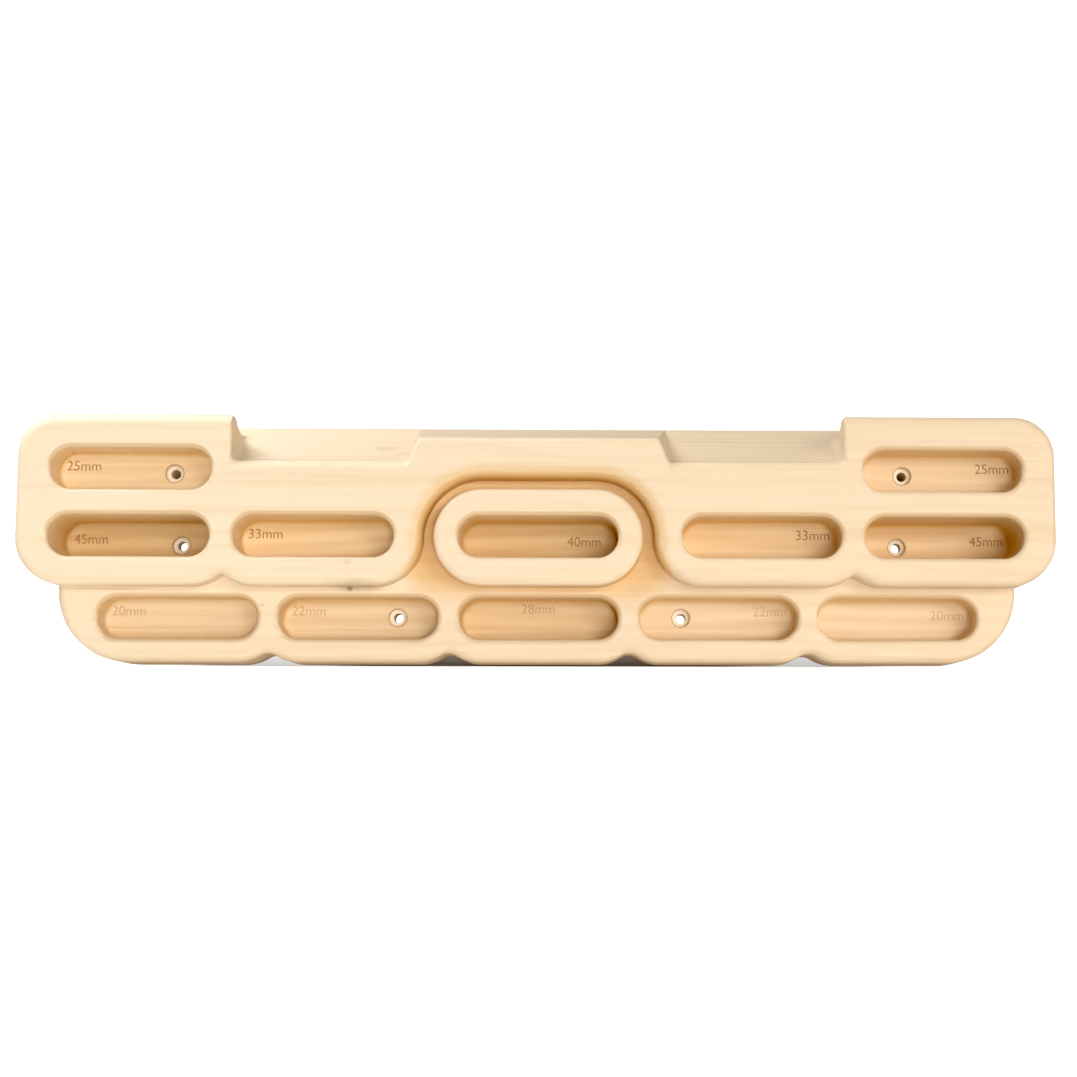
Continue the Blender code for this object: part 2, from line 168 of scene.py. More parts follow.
# Wood figure: how often each pattern repeats per metre along X, Y and Z
BEND_PITCH = (2.2, 9.0, 9.0)
SWAY_PITCH = (14.0, 60.0, 60.0)
STREAK_PITCH = (3.0, 130.0, 130.0)
FIBRE_PITCH = (26.0, 1100.0, 1100.0)
CLOUD_PITCH = (5.0, 13.0, 13.0)
FLECK_PITCH = (95.0, 1500.0, 1500.0)
MARK_PITCH = (90.0, 260.0, 260.0)
SEAT_PATCH_PITCH = (900.0, 2600.0, 900.0)
BURN_PITCH = (500.0, 900.0, 900.0)
# Growth rings per metre, and how far they bend and sway
GROWTH_RINGS, BEND_DEPTH, SWAY_DEPTH = 260.0, 0.022, 0.0016
# Painted shade that darkens the wood towards the right, per metre, and the grain contrast in the
# pockets
RIGHTWARD_PAINTED_SHADE, POCKET_CONTRAST = 0.9, 1.25
# Relief of the figure: its strength and height, and what rings and flecks add to the fibres
BUMP_STRENGTH, BUMP_HEIGHT = 0.22, 0.0002
RING_RELIEF, FLECK_RELIEF = -0.3, -0.8

# How strongly each part of the figure darkens the wood, and the noise values it runs between
RING_CONTRAST, FRESH_RING_CONTRAST = 0.20, 0.30
STREAK_RANGE, STREAK_CONTRAST = (0.38, 0.72), 0.42
FIBRE_RANGE, FIBRE_CONTRAST = (0.35, 0.7), 0.22
FLECK_RANGE, FLECK_CONTRAST = (0.66, 0.78), 0.25
CLOUD_RANGE, CLOUD_CONTRAST = (0.35, 0.7), 0.5
PATCH_RANGE, DRILLED_SHARES, BURNT_SHARES = (0.3, 0.7), (0.35, 0.6), (0.62, 0.92)
WOOD_ROUGHNESS, FIBRE_ROUGHNESS, END_GRAIN_ROUGHNESS = 0.46, 0.16, 0.08
BURNT_ROUGHNESS, FLOOR_ROUGHNESS, FLOOR_GLOSS = 0.7, 0.9, 0.1

# Soft steps of the painted shade, the marks and the burnt numbers on the board: where each one
# starts and ends
MIDDLE_END = (50 * MM, 75 * MM)
RIM_START, RIM_END, RIM_SHARE = (38 * MM, 40 * MM), (43 * MM, 49 * MM), 0.40
CHANNEL_START, CHANNEL_END = (33 * MM, 37 * MM), (43 * MM, 60 * MM)
CHANNEL_FOOT, CHANNEL_BACK = (-46 * MM, -20 * MM), (-36 * MM, -30 * MM)
ARCH_FLOOR_START = (12 * MM, 32 * MM)
BEHIND_FRONT = (MM - BOARD_DEPTH, 6 * MM - BOARD_DEPTH)
STEP_LINE = (-32.5 * MM, -31.5 * MM)
TOP_ROW_BOTTOM, BOTTOM_ROW_TOP = (24 * MM, 29 * MM), (-36 * MM, -34 * MM)
# Painted shade and bounce light that grow with a pocket's depth, weaker towards the right
DEPTH_SHADE_RANGE, RIGHT_FADE, RIGHT_DEPTH_SHADE = (6 * MM, 42 * MM), (40 * MM, 260 * MM), 0.62
LOW_RIGHT_START, LOW_RIGHT_CHANGE = (55 * MM, 75 * MM), -0.45
SHADED_END_DEPTH = (0.0, 20 * MM)
DEEP_FLOOR_DEPTH, LOW_FLOOR_SHARE = (30 * MM, 44 * MM), 0.42
LIP_DEPTH = (MM, 6 * MM)
SEAT_RIM_WIDTH, SEAT_RIM_SHARE = (0.25 * MM, 0.85 * MM), 0.75
NEAR_BACK = (-8 * MM, -6 * MM)
BURNT_ROW, LOW_ROW_BURN = (-33 * MM, -31 * MM), 0.45
MARK_WANDER, MARK_EDGE = 0.9, (0.55, 1.5)

# Soft steps by the way a face looks, as parts of its normal
TURNED_FROM_FRONT = (-0.99, -0.65)
TURNED_LEFT = (-0.30, -0.95)
TURNED_DOWN = (0.0, -0.22)
# Painted shade on faces that turn down, such as the pockets' ceilings
OVERHEAD, OVERHEAD_SHADE_SHARE = (0.05, -0.6), 0.35
END_GRAIN_TURN, END_GRAIN_SHARE, FRESH_END_GRAIN_SHARE = (0.45, 1.0), 0.08, 0.24

# Studio suns: turn to the right of the front, height in degrees, strength, softness
SOFT_SUNS = (
    ("low_front_light", 8, -9, 1.05, 16),
    ("right_front_light", 30, 10, 0.78, 20),
    ("front_light", 0, 10, 0.36, 12),
    ("left_high_light", -30, 35, 0.16, 20),
)
WHITE, COOL_WHITE = (1.0, 1.0, 1.0), (0.85, 0.91, 1.0)
# Studio lamps: place, point on the board that they are aimed at, strength, colour
SOFT_LAMPS = (
    ("top_light", (-0.65, -0.12, 0.75), (-0.2, -0.03, 0.08), 9.6, COOL_WHITE),
    ("top_right_light", (0.2, -0.1, 0.75), (0.2, -0.03, 0.08), 0.8, COOL_WHITE),
    ("side_light", (0.9, -0.5, 0.2), (0.2, -0.05, 0.0), 1.8, WHITE),
)
LAMP_SIZE = (0.5, 0.5)

# Light that the white room sends, and how much brighter the camera sees it
SURROUND, ROOM_GLOW = 0.08, 1.1
# Light that the floor sends, and its brightness for the camera
FLOOR_LIGHT, FLOOR_GLOW = 0.15, 0.9
FLOOR_SCALE, FLOOR_SHIFT = (2.0, 0.5, 1.0), (0.0, -0.44, 0.0)
FLOOR_TILT, FLOOR_DROP = 9, 0.0001
FLOOR_SHADED, FLOOR_PALE = (0.36, 0.28, 0.22), (0.72, 0.70, 0.68)
# Steps to its white part: beside the middle hollows, beside the outer ones, before the back
FLOOR_STEPS, FLOOR_BEFORE = ((110 * MM, 150 * MM), (200 * MM, 240 * MM)), (-8 * MM, -2 * MM)

# Camera, fitted to the photograph: angles in radians, focal length and shift in pixels
CAMERA_TURN, CAMERA_RISE, CAMERA_ROLL = 0.0192, 0.1163, -0.0009
CAMERA_PLACE_MM = (38.96, -1203.57, -135.04)
PICTURE_WIDTH = 1077
FOCAL_PIXELS, SHIFT_PIXELS = 1851.47, -97.5
SENSOR = 36
CAMERA_REACH = (0.05, 20)
BLACK_LEVEL = 0.035

# Fineness: degrees per step of an outline, steps of the other rounds
ARC_STEP = 5.0
ROUND_STEPS = 6
SMALL_ROUND_STEPS = 5
HOLE_STEPS = 36
GROOVE_STEPS = 20
GROOVE_END_STEPS, GROOVE_END_DEGREES = 9, 9.5
# A wall in a recess is at least this high, and a round takes at most this share of it
LEAST_STEP = 0.1 * MM
LARGEST_ROUND_SHARE = 0.4
# Points closer than this are one point
TOUCH = 0.002 * MM
SMOOTH_ANGLE = math.radians(32)
VERT, EDGE, FACE = bmesh.types.BMVert, bmesh.types.BMEdge, bmesh.types.BMFace


# Drawing lines and arcs

def board_point(x, depth, z):
    return Vector((x, depth - BOARD_DEPTH, z))


def only(items, kind):
    return [item for item in items if isinstance(item, kind)]


def all_geometry(bm):
    return bm.verts[:] + bm.edges[:] + bm.faces[:]


def weld(bm, reach=TOUCH):
    bmesh.ops.remove_doubles(bm, verts=bm.verts, dist=reach)


def draw_line(bm, tip, target):
    """A straight edge from the tip of a line; returns the new tip."""
    if (tip.co - target).length < TOUCH:
        return tip
    new_tip = bmesh.ops.extrude_vert_indiv(bm, verts=[tip])["verts"][0]
    new_tip.co = target
    return new_tip


def draw_arc(bm, tip, centre, axis, degrees, steps):
    spun = bmesh.ops.spin(bm, geom=[tip], cent=centre, axis=axis, angle=math.radians(degrees),
                          steps=steps, use_merge=False, use_duplicate=False)
    return only(spun["geom_last"], VERT)[0]


def close_line(bm, tip, first):
    if (tip.co - first.co).length > TOUCH:
        bmesh.ops.contextual_create(bm, geom=[tip, first])
    weld(bm)


def upright(degrees, radius):
    """From the centre of an arc in a plane parallel to the front to a point on it."""
    angle = math.radians(degrees)
    return Vector((math.cos(angle), 0.0, math.sin(angle))) * radius


def draw_outline(bm, arcs, depth):
    """A closed outline of arcs (x, z, radius, start, end, edge round at start and end)."""
    weights = bm.edges.layers.float.new("bevel_weight_edge")
    tip = first = None
    for x, z, radius, start, end, round_start, round_end in arcs:
        middle = board_point(x, depth, z)
        begin = middle + upright(start, radius)
        count = len(bm.edges)
        if tip is None:
            tip = first = bm.verts.new(begin)
        else:
            tip = draw_line(bm, tip, begin)
            mark_round(bm, weights, count, round_start, round_start)
        count = len(bm.edges)
        steps = max(1, round(abs(end - start) / ARC_STEP))
        tip = draw_arc(bm, tip, middle, (0, -1, 0), end - start, steps)
        mark_round(bm, weights, count, round_start, round_end)
    count = len(bm.edges)
    close_line(bm, tip, first)
    mark_round(bm, weights, count, arcs[-1][6], arcs[0][5])


def mark_round(bm, weights, count, start, end):
    """Writes the wanted edge round, as a share of the widest one, on the newest edges."""
    bm.edges.ensure_lookup_table()
    warm_shade_share = bm.edges[count:]
    for index, edge in enumerate(warm_shade_share):
        share = (index + 0.5) / len(warm_shade_share)
        edge[weights] = (start + (end - start) * share) / WIDEST_ROUND


# Bodies and cuts

def new_object(name, data):
    item = bpy.data.objects.new(name, data)
    bpy.context.scene.collection.objects.link(item)
    return item


def new_body(name, bm):
    bmesh.ops.recalc_face_normals(bm, faces=bm.faces)
    mesh = bpy.data.meshes.new(name)
    bm.to_mesh(mesh)
    bm.free()
    return new_object(name, mesh)


def finished_mesh(item):
    graph = bpy.context.evaluated_depsgraph_get()
    return bpy.data.meshes.new_from_object(item.evaluated_get(graph))


def bake_modifiers(body):
    mesh = finished_mesh(body)
    body.modifiers.clear()
    body.data = mesh


def mill(body, tool, operation, finish):
    """Adds or cuts away one shape, which leaves its finish on the wood."""
    tool.data.materials.append(finish)
    cut = body.modifiers.new("milling", "BOOLEAN")
    cut.operation = operation
    cut.solver = "EXACT"
    cut.material_mode = "TRANSFER"
    cut.object = tool
    bake_modifiers(body)
    bpy.data.objects.remove(tool)


def push(bm, faces, offset):
    """Extrudes faces and returns the corners and faces of the moved end."""
    moved = bmesh.ops.extrude_face_region(bm, geom=faces)["geom"]
    verts = only(moved, VERT)
    bmesh.ops.translate(bm, verts=verts, vec=offset)
    return verts, only(moved, FACE)


def plank(name, arcs, face, back):
    """A slab with the given outline whose front edge is rounded."""
    bm = bmesh.new()
    draw_outline(bm, arcs, face)
    front = bmesh.ops.edgeloop_fill(bm, edges=bm.edges)["faces"]
    push(bm, front, Vector((0.0, back - face, 0.0)))
    weights = bm.edges.layers.float["bevel_weight_edge"]
    plane = face - BOARD_DEPTH
    for edge in bm.edges:
        if max(abs(vert.co.y - plane) for vert in edge.verts) > TOUCH:
            edge[weights] = 0.0
    body = new_body(name, bm)
    rounding = body.modifiers.new("rounded front", "BEVEL")
    rounding.width = WIDEST_ROUND
    rounding.segments = ROUND_STEPS
    rounding.limit_method = "WEIGHT"
    rounding.use_clamp_overlap = False
    bake_modifiers(body)
    return body


def scallop(left_x, right_x, centre_z, radius, fillet, edge):
    """The end of one bulge, the hollow between two bulges, and the start of the next one."""
    half = (right_x - left_x) / 2
    drop = math.sqrt((radius + fillet) ** 2 - half ** 2)
    lean = math.degrees(math.atan2(half, drop))
    return [
        (left_x, centre_z, radius, 270, 270 + lean, edge, edge),
        (left_x + half, centre_z - drop, fillet, 90 + lean, 90 - lean, edge, edge),
        (right_x, centre_z, radius, 270 - lean, 270, edge, edge),
    ]


def upper_arcs():
    """The thick part, from its lower left corner over the arch round to its upper left corner."""
    outer = MIDDLE_ROW[0][0] - POCKET_REACH
    inner = MIDDLE_ROW[1][0] + POCKET_REACH
    side = MIDDLE_ROW[1][0] - POCKET_REACH
    front, arch, ear = FRONT_ROUND, ARCH_ROUND, EAR_TOP_ROUND
    return [
        (-LOWER_CORNER_X, 0.0, BULGE_RADIUS, 180, 270, front, front),
        *scallop(-outer, -inner, 0.0, BULGE_RADIUS, SCALLOP_FILLET, front),
        (-side, 0.0, BULGE_RADIUS, 270, 360, front, arch),
        (-BOSS_REACH, 0.0, ARCH_RADIUS, 180, 90, arch, arch),
        (BOSS_REACH, 0.0, ARCH_RADIUS, 90, 0, arch, arch),
        (side, 0.0, BULGE_RADIUS, 180, 270, arch, front),
        *scallop(inner, outer, 0.0, BULGE_RADIUS, SCALLOP_FILLET, front),
        (LOWER_CORNER_X, 0.0, BULGE_RADIUS, 270, 360, front, front),
        (TOP_CORNER_X, TOP_CORNER_Z, TOP_CORNER_RADIUS, 0, 90, front, ear),
        (-TOP_CORNER_X, TOP_CORNER_Z, TOP_CORNER_RADIUS, 90, 180, ear, front),
    ]


def lower_arcs():
    """The part further back, with scallops of its own and a top hidden in the thick part."""
    edge = LOWER_ROUND
    corner_x = LOWER_HALF_WIDTH - LOWER_CORNER_RADIUS
    corner_z = BOARD_BOTTOM + LOWER_CORNER_RADIUS
    hidden_x = LOWER_HALF_WIDTH - LOWER_HIDDEN_CORNER
    hidden_z = LOWER_HIDDEN_TOP - LOWER_HIDDEN_CORNER
    outer, middle, centre = [(x - POCKET_REACH, x + POCKET_REACH) for x, _depth in BOTTOM_ROW]
    shape = (BOTTOM_ROW_Z, LOWER_BULGE_RADIUS, LOWER_SCALLOP_FILLET, edge)
    return [
        (-corner_x, corner_z, LOWER_CORNER_RADIUS, 180, 270, edge, edge),
        *scallop(-outer[0], -middle[1], *shape),
        *scallop(-middle[0], -centre[1], *shape),
        *scallop(centre[1], middle[0], *shape),
        *scallop(middle[1], outer[0], *shape),
        (corner_x, corner_z, LOWER_CORNER_RADIUS, 270, 360, edge, edge),
        (hidden_x, hidden_z, LOWER_HIDDEN_CORNER, 0, 90, edge, edge),
        (-hidden_x, hidden_z, LOWER_HIDDEN_CORNER, 90, 180, edge, edge),
    ]


def boss_arcs():
    edge = BOSS_ROUND
    return [
        (BOSS_REACH, 0.0, BOSS_RADIUS, -90, 90, edge, edge),
        (-BOSS_REACH, 0.0, BOSS_RADIUS, 90, 270, edge, edge),
    ]


def pocket_profile(bm, x, z, face, depth):
    """Half a pocket's section, from the middle of its mouth to the middle of its floor."""
    floor = face + depth
    fillet = POCKET_FLOOR_FILLET
    tip = bm.verts.new(board_point(x, face - OVERRUN, z))
    tip = draw_line(bm, tip, board_point(x, face - OVERRUN, z - POCKET_RADIUS - POCKET_LIP))
    tip = draw_line(bm, tip, board_point(x, face, z - POCKET_RADIUS - POCKET_LIP))
    lip_middle = board_point(x, face + POCKET_LIP, z - POCKET_RADIUS - POCKET_LIP)
    tip = draw_arc(bm, tip, lip_middle, (-1, 0, 0), 90, ROUND_STEPS)
    tip = draw_line(bm, tip, board_point(x, floor - fillet, z - POCKET_RADIUS))
    fillet_middle = board_point(x, floor - fillet, z - POCKET_RADIUS + fillet)
    tip = draw_arc(bm, tip, fillet_middle, (1, 0, 0), 90, SMALL_ROUND_STEPS)
    draw_line(bm, tip, board_point(x, floor, z))


def slide(bm, edges, offset):
    """Drags a section along and returns its edges at the far end."""
    moved = bmesh.ops.extrude_edge_only(bm, edges=edges)["geom"]
    bmesh.ops.translate(bm, verts=only(moved, VERT), vec=offset)
    return only(moved, EDGE)


def swing(bm, edges, centre):
    """Sweeps a section half a turn around one end of a pocket."""
    spun = bmesh.ops.spin(bm, geom=edges, cent=centre, axis=(0, -1, 0), angle=math.pi,
                          steps=round(180 / ARC_STEP), use_merge=False, use_duplicate=False)
    return only(spun["geom_last"], EDGE)


def pocket_cutter(x, z, face, depth):
    bm = bmesh.new()
    right, left = x + POCKET_REACH, x - POCKET_REACH
    pocket_profile(bm, right, z, face, depth)
    edges = swing(bm, bm.edges[:], board_point(right, face, z))
    edges = slide(bm, edges, Vector((left - right, 0.0, 0.0)))
    edges = swing(bm, edges, board_point(left, face, z))
    slide(bm, edges, Vector((right - left, 0.0, 0.0)))
    weld(bm)
    return bm


def hole_cutter(x, z, floor):
    """A stepped screw hole, spun from half its section."""
    bm = bmesh.new()
    seat = floor + SCREW_HEAD_SINK
    end = BOARD_DEPTH + 2 * OVERRUN
    tip = bm.verts.new(board_point(x, floor - OVERRUN, z))
    corners = ((SCREW_HEAD_RADIUS, floor - OVERRUN), (SCREW_HEAD_RADIUS, seat),
               (SCREW_SHANK_RADIUS, seat), (SCREW_SHANK_RADIUS, end), (0.0, end))
    for beside, depth in corners:
        tip = draw_line(bm, tip, board_point(x + beside, depth, z))
    bmesh.ops.spin(bm, geom=bm.edges[:], cent=board_point(x, floor, z), axis=(0, -1, 0),
                   angle=2 * math.pi, steps=HOLE_STEPS, use_merge=True, use_duplicate=False)
    weld(bm)
    return bm


def join_cutters(name, cutters):
    """One body from several cutters that don't touch."""
    whole = bmesh.new()
    for bm in cutters:
        part = bpy.data.meshes.new("cutter")
        bm.to_mesh(part)
        bm.free()
        whole.from_mesh(part)
        bpy.data.meshes.remove(part)
    return new_body(name, whole)


def both_sides(x):
    return (x,) if x == 0 else (-x, x)


def all_pockets():
    rows = ((TOP_ROW, TOP_ROW_Z, 0.0), (MIDDLE_ROW, 0.0, 0.0),
            (BOTTOM_ROW, BOTTOM_ROW_Z, STEP_DEPTH))
    return join_cutters("pockets", [pocket_cutter(x, z, face, depth) for row, z, face in rows
                                    for offset, depth in row for x in both_sides(offset)])


def all_holes():
    return join_cutters("holes", [hole_cutter(x, z, floor) for offset, z, floor in SCREW_HOLES
                                  for x in both_sides(offset)])


def add_mirror_image(bm):
    """Adds the same cut on the other side of the board's middle."""
    bmesh.ops.mirror(bm, geom=all_geometry(bm), matrix=Matrix.Identity(4), merge_dist=-1.0,
                     axis="X")


def sloping_top(depth, corner, rise, radius):
    """Height of a top that slopes up to the back edge, behind a rounded front corner."""
    slope = math.atan(rise / BOARD_DEPTH)
    start = corner - radius * math.tan((math.pi / 2 - slope) / 2)
    if depth <= 0:
        return start
    if depth < radius * (1 - math.sin(slope)):
        return start + math.sqrt(radius ** 2 - (radius - depth) ** 2)
    return corner + depth * math.tan(slope)


def sloper_height(depth):
    return sloping_top(depth, SLOPER_CORNER_Z, BOARD_TOP - SLOPER_CORNER_Z, SLOPER_ROUND)


def block_height(depth):
    return sloping_top(depth, BLOCK_CORNER_Z, BOARD_TOP - BLOCK_CORNER_Z, BLOCK_ROUND)


def mouth(depth):
    """How far the side walls of a recess give way near the front face."""
    if depth <= 0:
        return RECESS_EDGE
    if depth < RECESS_EDGE:
        return RECESS_EDGE - math.sqrt(RECESS_EDGE ** 2 - (RECESS_EDGE - depth) ** 2)
    return 0.0


def block_wall(depth, z):
    lean = BLOCK_WALL_LEAN * (z - BLOCK_WALL_Z)
    return BLOCK_WALL_X - lean + BLOCK_WALL_TURN * depth - mouth(depth)


def recess_section(bm, depth):
    """Draws the section of the right-hand sloper recess at one depth, from block to ear."""
    floor = sloper_height(depth)
    top = max(block_height(depth), floor + LEAST_STEP)
    edge = min(BLOCK_EDGE, LARGEST_ROUND_SHARE * (top - floor))
    fillet = min(BLOCK_BASE_FILLET, LARGEST_ROUND_SHARE * (top - floor))
    turn = math.degrees(math.atan(BLOCK_WALL_LEAN))
    across = math.sqrt(1 + BLOCK_WALL_LEAN ** 2)
    edge_x = block_wall(depth, top - edge) - edge * across
    base_x = block_wall(depth, floor + fillet) + fillet * across
    ear = EAR_WALL_X + mouth(depth)
    first = bm.verts.new(board_point(edge_x, depth, CUT_TOP))
    tip = draw_line(bm, first, board_point(edge_x, depth, top))
    middle = board_point(edge_x, depth, top - edge)
    tip = draw_arc(bm, tip, middle, (0, -1, 0), turn - 90, SMALL_ROUND_STEPS)
    middle = board_point(base_x, depth, floor + fillet)
    tip = draw_line(bm, tip, middle + upright(180 + turn, fillet))
    tip = draw_arc(bm, tip, middle, (0, -1, 0), 90 - turn, SMALL_ROUND_STEPS)
    middle = board_point(ear - EAR_BASE_FILLET, depth, floor + EAR_BASE_FILLET)
    tip = draw_line(bm, tip, middle + upright(270, EAR_BASE_FILLET))
    tip = draw_arc(bm, tip, middle, (0, -1, 0), 90, ROUND_STEPS)
    rim = max(BOARD_TOP - EAR_TOP_EDGE, tip.co.z + LEAST_STEP)
    tip = draw_line(bm, tip, board_point(ear, depth, rim))
    middle = board_point(ear + EAR_TOP_EDGE, depth, rim)
    tip = draw_arc(bm, tip, middle, (0, -1, 0), -90, SMALL_ROUND_STEPS)
    tip = draw_line(bm, tip, board_point(ear + EAR_TOP_EDGE, depth, CUT_TOP))
    bmesh.ops.contextual_create(bm, geom=[tip, first])


def recess_depths():
    """The depths of a recess's sections: close together where its walls and floor curve."""
    slope = math.atan((BOARD_TOP - SLOPER_CORNER_Z) / BOARD_DEPTH)
    curve_end = SLOPER_ROUND * (1 - math.sin(slope))
    depths = [-OVERRUN, 0.0]
    for start, end, shares in ((0.0, RECESS_EDGE, (0.06, 0.2, 0.42, 0.7, 1.0)),
                               (RECESS_EDGE, curve_end, (0.4, 0.75, 1.0)),
                               (curve_end, BOARD_DEPTH, (0.3, 0.65, 0.85, 0.95, 1.0))):
        depths += [start + (end - start) * share for share in shares]
    return depths + [BOARD_DEPTH + OVERRUN]


def recess_cutter():
    """Both sloper recesses: sections bridged from the front to the back, then mirrored."""
    bm = bmesh.new()
    loops = []
    for depth in recess_depths():
        count = len(bm.edges)
        recess_section(bm, depth)
        bm.edges.ensure_lookup_table()
        loops.append(bm.edges[count:])
    bmesh.ops.edgeloop_fill(bm, edges=loops[0])
    bmesh.ops.edgeloop_fill(bm, edges=loops[-1])
    for near, far in zip(loops, loops[1:]):
        bmesh.ops.bridge_loops(bm, edges=near + far)
    add_mirror_image(bm)
    return new_body("recesses", bm)


def block_cutter():
    """A prism along X that cuts the sloping top of the middle block."""
    slope = math.atan((BOARD_TOP - BLOCK_CORNER_Z) / BOARD_DEPTH)
    start = block_height(0.0)
    x = -BLOCK_CUT_REACH
    bm = bmesh.new()
    first = bm.verts.new(board_point(x, -OVERRUN, CUT_TOP))
    tip = draw_line(bm, first, board_point(x, -OVERRUN, start))
    tip = draw_line(bm, tip, board_point(x, 0.0, start))
    degrees = 90 - math.degrees(slope)
    tip = draw_arc(bm, tip, board_point(x, BLOCK_ROUND, start), (-1, 0, 0), degrees, ROUND_STEPS)
    back = BOARD_DEPTH + OVERRUN
    tip = draw_line(bm, tip, board_point(x, back, block_height(back)))
    tip = draw_line(bm, tip, board_point(x, back, CUT_TOP))
    close_line(bm, tip, first)
    end = bmesh.ops.edgeloop_fill(bm, edges=bm.edges)["faces"]
    push(bm, end, Vector((2 * BLOCK_CUT_REACH, 0.0, 0.0)))
    return new_body("block_top", bm)


def groove_cutter():
    """The scooped grooves behind the lips of the ears, each with a rounded blind end."""
    half = (GROOVE_BACK - GROOVE_FRONT) / 2
    middle = (GROOVE_BACK + GROOVE_FRONT) / 2
    radius = (half ** 2 + GROOVE_SINK ** 2) / (2 * GROOVE_SINK)
    half_angle = math.degrees(math.asin(half / radius))
    bm = bmesh.new()
    first = bm.verts.new(board_point(GROOVE_START_X, middle - half, CUT_TOP))
    tip = draw_line(bm, first, board_point(GROOVE_START_X, middle - half, BOARD_TOP))
    centre = board_point(GROOVE_START_X, middle, BOARD_TOP - GROOVE_SINK + radius)
    tip = draw_arc(bm, tip, centre, (1, 0, 0), 2 * half_angle, GROOVE_STEPS)
    tip = draw_line(bm, tip, board_point(GROOVE_START_X, middle + half, CUT_TOP))
    close_line(bm, tip, first)
    face = bmesh.ops.edgeloop_fill(bm, edges=bm.edges)["faces"]
    face = push(bm, face, Vector((GROOVE_STRAIGHT_X - GROOVE_START_X, 0.0, 0.0)))[1]
    pivot = Matrix.Translation(-board_point(0.0, middle, BOARD_TOP))
    before_x, before_scale = 0.0, 1.0
    for step in range(1, GROOVE_END_STEPS + 1):
        angle = math.radians(GROOVE_END_DEGREES * step)
        reach, scale = GROOVE_END_LENGTH * math.sin(angle), math.cos(angle)
        old_end = face
        verts, face = push(bm, face, Vector((reach - before_x, 0.0, 0.0)))
        bmesh.ops.delete(bm, geom=old_end, context="FACES_ONLY")
        ratio = scale / before_scale
        bmesh.ops.scale(bm, verts=verts, vec=(1.0, ratio, ratio), space=pivot)
        before_x, before_scale = reach, scale
    add_mirror_image(bm)
    return new_body("grooves", bm)


def label_cutter(text, x, z, floor):
    """A depth number as a thin solid that stands across a pocket's floor."""
    words = bpy.data.curves.new("label", "FONT")
    words.body = text
    words.align_x = words.align_y = "CENTER"
    words.extrude = 0.5
    words.resolution_u = LABEL_CURVE_STEPS
    item = new_object("label", words)
    mesh = finished_mesh(item)
    bpy.data.objects.remove(item)
    bm = bmesh.new()
    bm.from_mesh(mesh)
    bpy.data.meshes.remove(mesh)
    low = Vector((min(v.co.x for v in bm.verts), min(v.co.y for v in bm.verts), 0.0))
    high = Vector((max(v.co.x for v in bm.verts), max(v.co.y for v in bm.verts), 0.0))
    bmesh.ops.translate(bm, verts=bm.verts, vec=-(low + high) / 2)
    size = high - low
    scale = (LABEL_WIDTH / size.x, LABEL_HEIGHT / size.y, 2 * LABEL_SINK)
    bmesh.ops.scale(bm, verts=bm.verts, vec=scale)
    upright_turn = Matrix.Rotation(math.pi / 2, 3, "X")
    bmesh.ops.rotate(bm, verts=bm.verts, cent=(0, 0, 0), matrix=upright_turn)
    bmesh.ops.translate(bm, verts=bm.verts, vec=board_point(x * MM, floor * MM, z * MM))
    weld(bm)
    for _pass in range(CLEANING_PASSES):
        bmesh.ops.dissolve_degenerate(bm, dist=TOUCH, edges=bm.edges)
    return bm


def all_labels():
    return join_cutters("labels", [label_cutter(*label) for label in LABELS])


def milled_board(outside, inside, seat, burnt):
    """The whole board in one piece; each cut leaves its own finish on the wood."""
    back = BOARD_DEPTH + OVERRUN
    board = plank("board", upper_arcs(), 0.0, back)
    board.data.materials.append(outside)
    mill(board, plank("lower_part", lower_arcs(), STEP_DEPTH, back), "UNION", outside)
    mill(board, plank("boss", boss_arcs(), 0.0, STEP_DEPTH + OVERRUN), "UNION", outside)
    mill(board, recess_cutter(), "DIFFERENCE", outside)
    mill(board, block_cutter(), "DIFFERENCE", outside)
    mill(board, groove_cutter(), "DIFFERENCE", outside)
    mill(board, all_pockets(), "DIFFERENCE", inside)
    mill(board, all_holes(), "DIFFERENCE", seat)
    mill(board, all_labels(), "DIFFERENCE", burnt)
    return board


def saw(bm, place, normal, keep_beyond):
    """Cuts along a plane, keeps the wood beyond it or before it, and closes the cut."""
    cut = bmesh.ops.bisect_plane(bm, geom=all_geometry(bm), dist=TOUCH / 10,
                                 plane_co=place, plane_no=normal,
                                 clear_inner=keep_beyond, clear_outer=not keep_beyond)
    rim = only(cut["geom_cut"], EDGE)
    bmesh.ops.triangle_fill(bm, use_beauty=True, use_dissolve=False, edges=rim)


def cut_stave(board, index, name, finishes):
    """Planes the back flat on the plane Y = 0 and saws one stave out between its glue lines."""
    bm = bmesh.new()
    bm.from_mesh(board.data)
    saw(bm, (0, 0, 0), (0, 1, 0), False)
    if index > 0:
        saw(bm, (0, 0, GLUE_LINES[index - 1] + GLUE_GAP / 2), (0, 0, 1), True)
    if index < len(GLUE_LINES):
        saw(bm, (0, 0, GLUE_LINES[index] - GLUE_GAP / 2), (0, 0, 1), False)
    weld(bm, TOUCH / 4)
    stave = new_body(name + "_milled", bm)
    for finish in finishes:
        stave.data.materials.append(finish)
    for polygon in stave.data.polygons:
        polygon.use_smooth = True
    stave.data.set_sharp_from_angle(angle=SMOOTH_ANGLE)
    even = stave.modifiers.new("flat faces stay flat", "WEIGHTED_NORMAL")
    even.mode = "FACE_AREA"
    even.keep_sharp = True
    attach(stave, "root")
    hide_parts(name)


# Wood

def add(tree, kind, **settings):
    node = tree.nodes.new(kind)
    for name, value in settings.items():
        setattr(node, name, value)
    return node


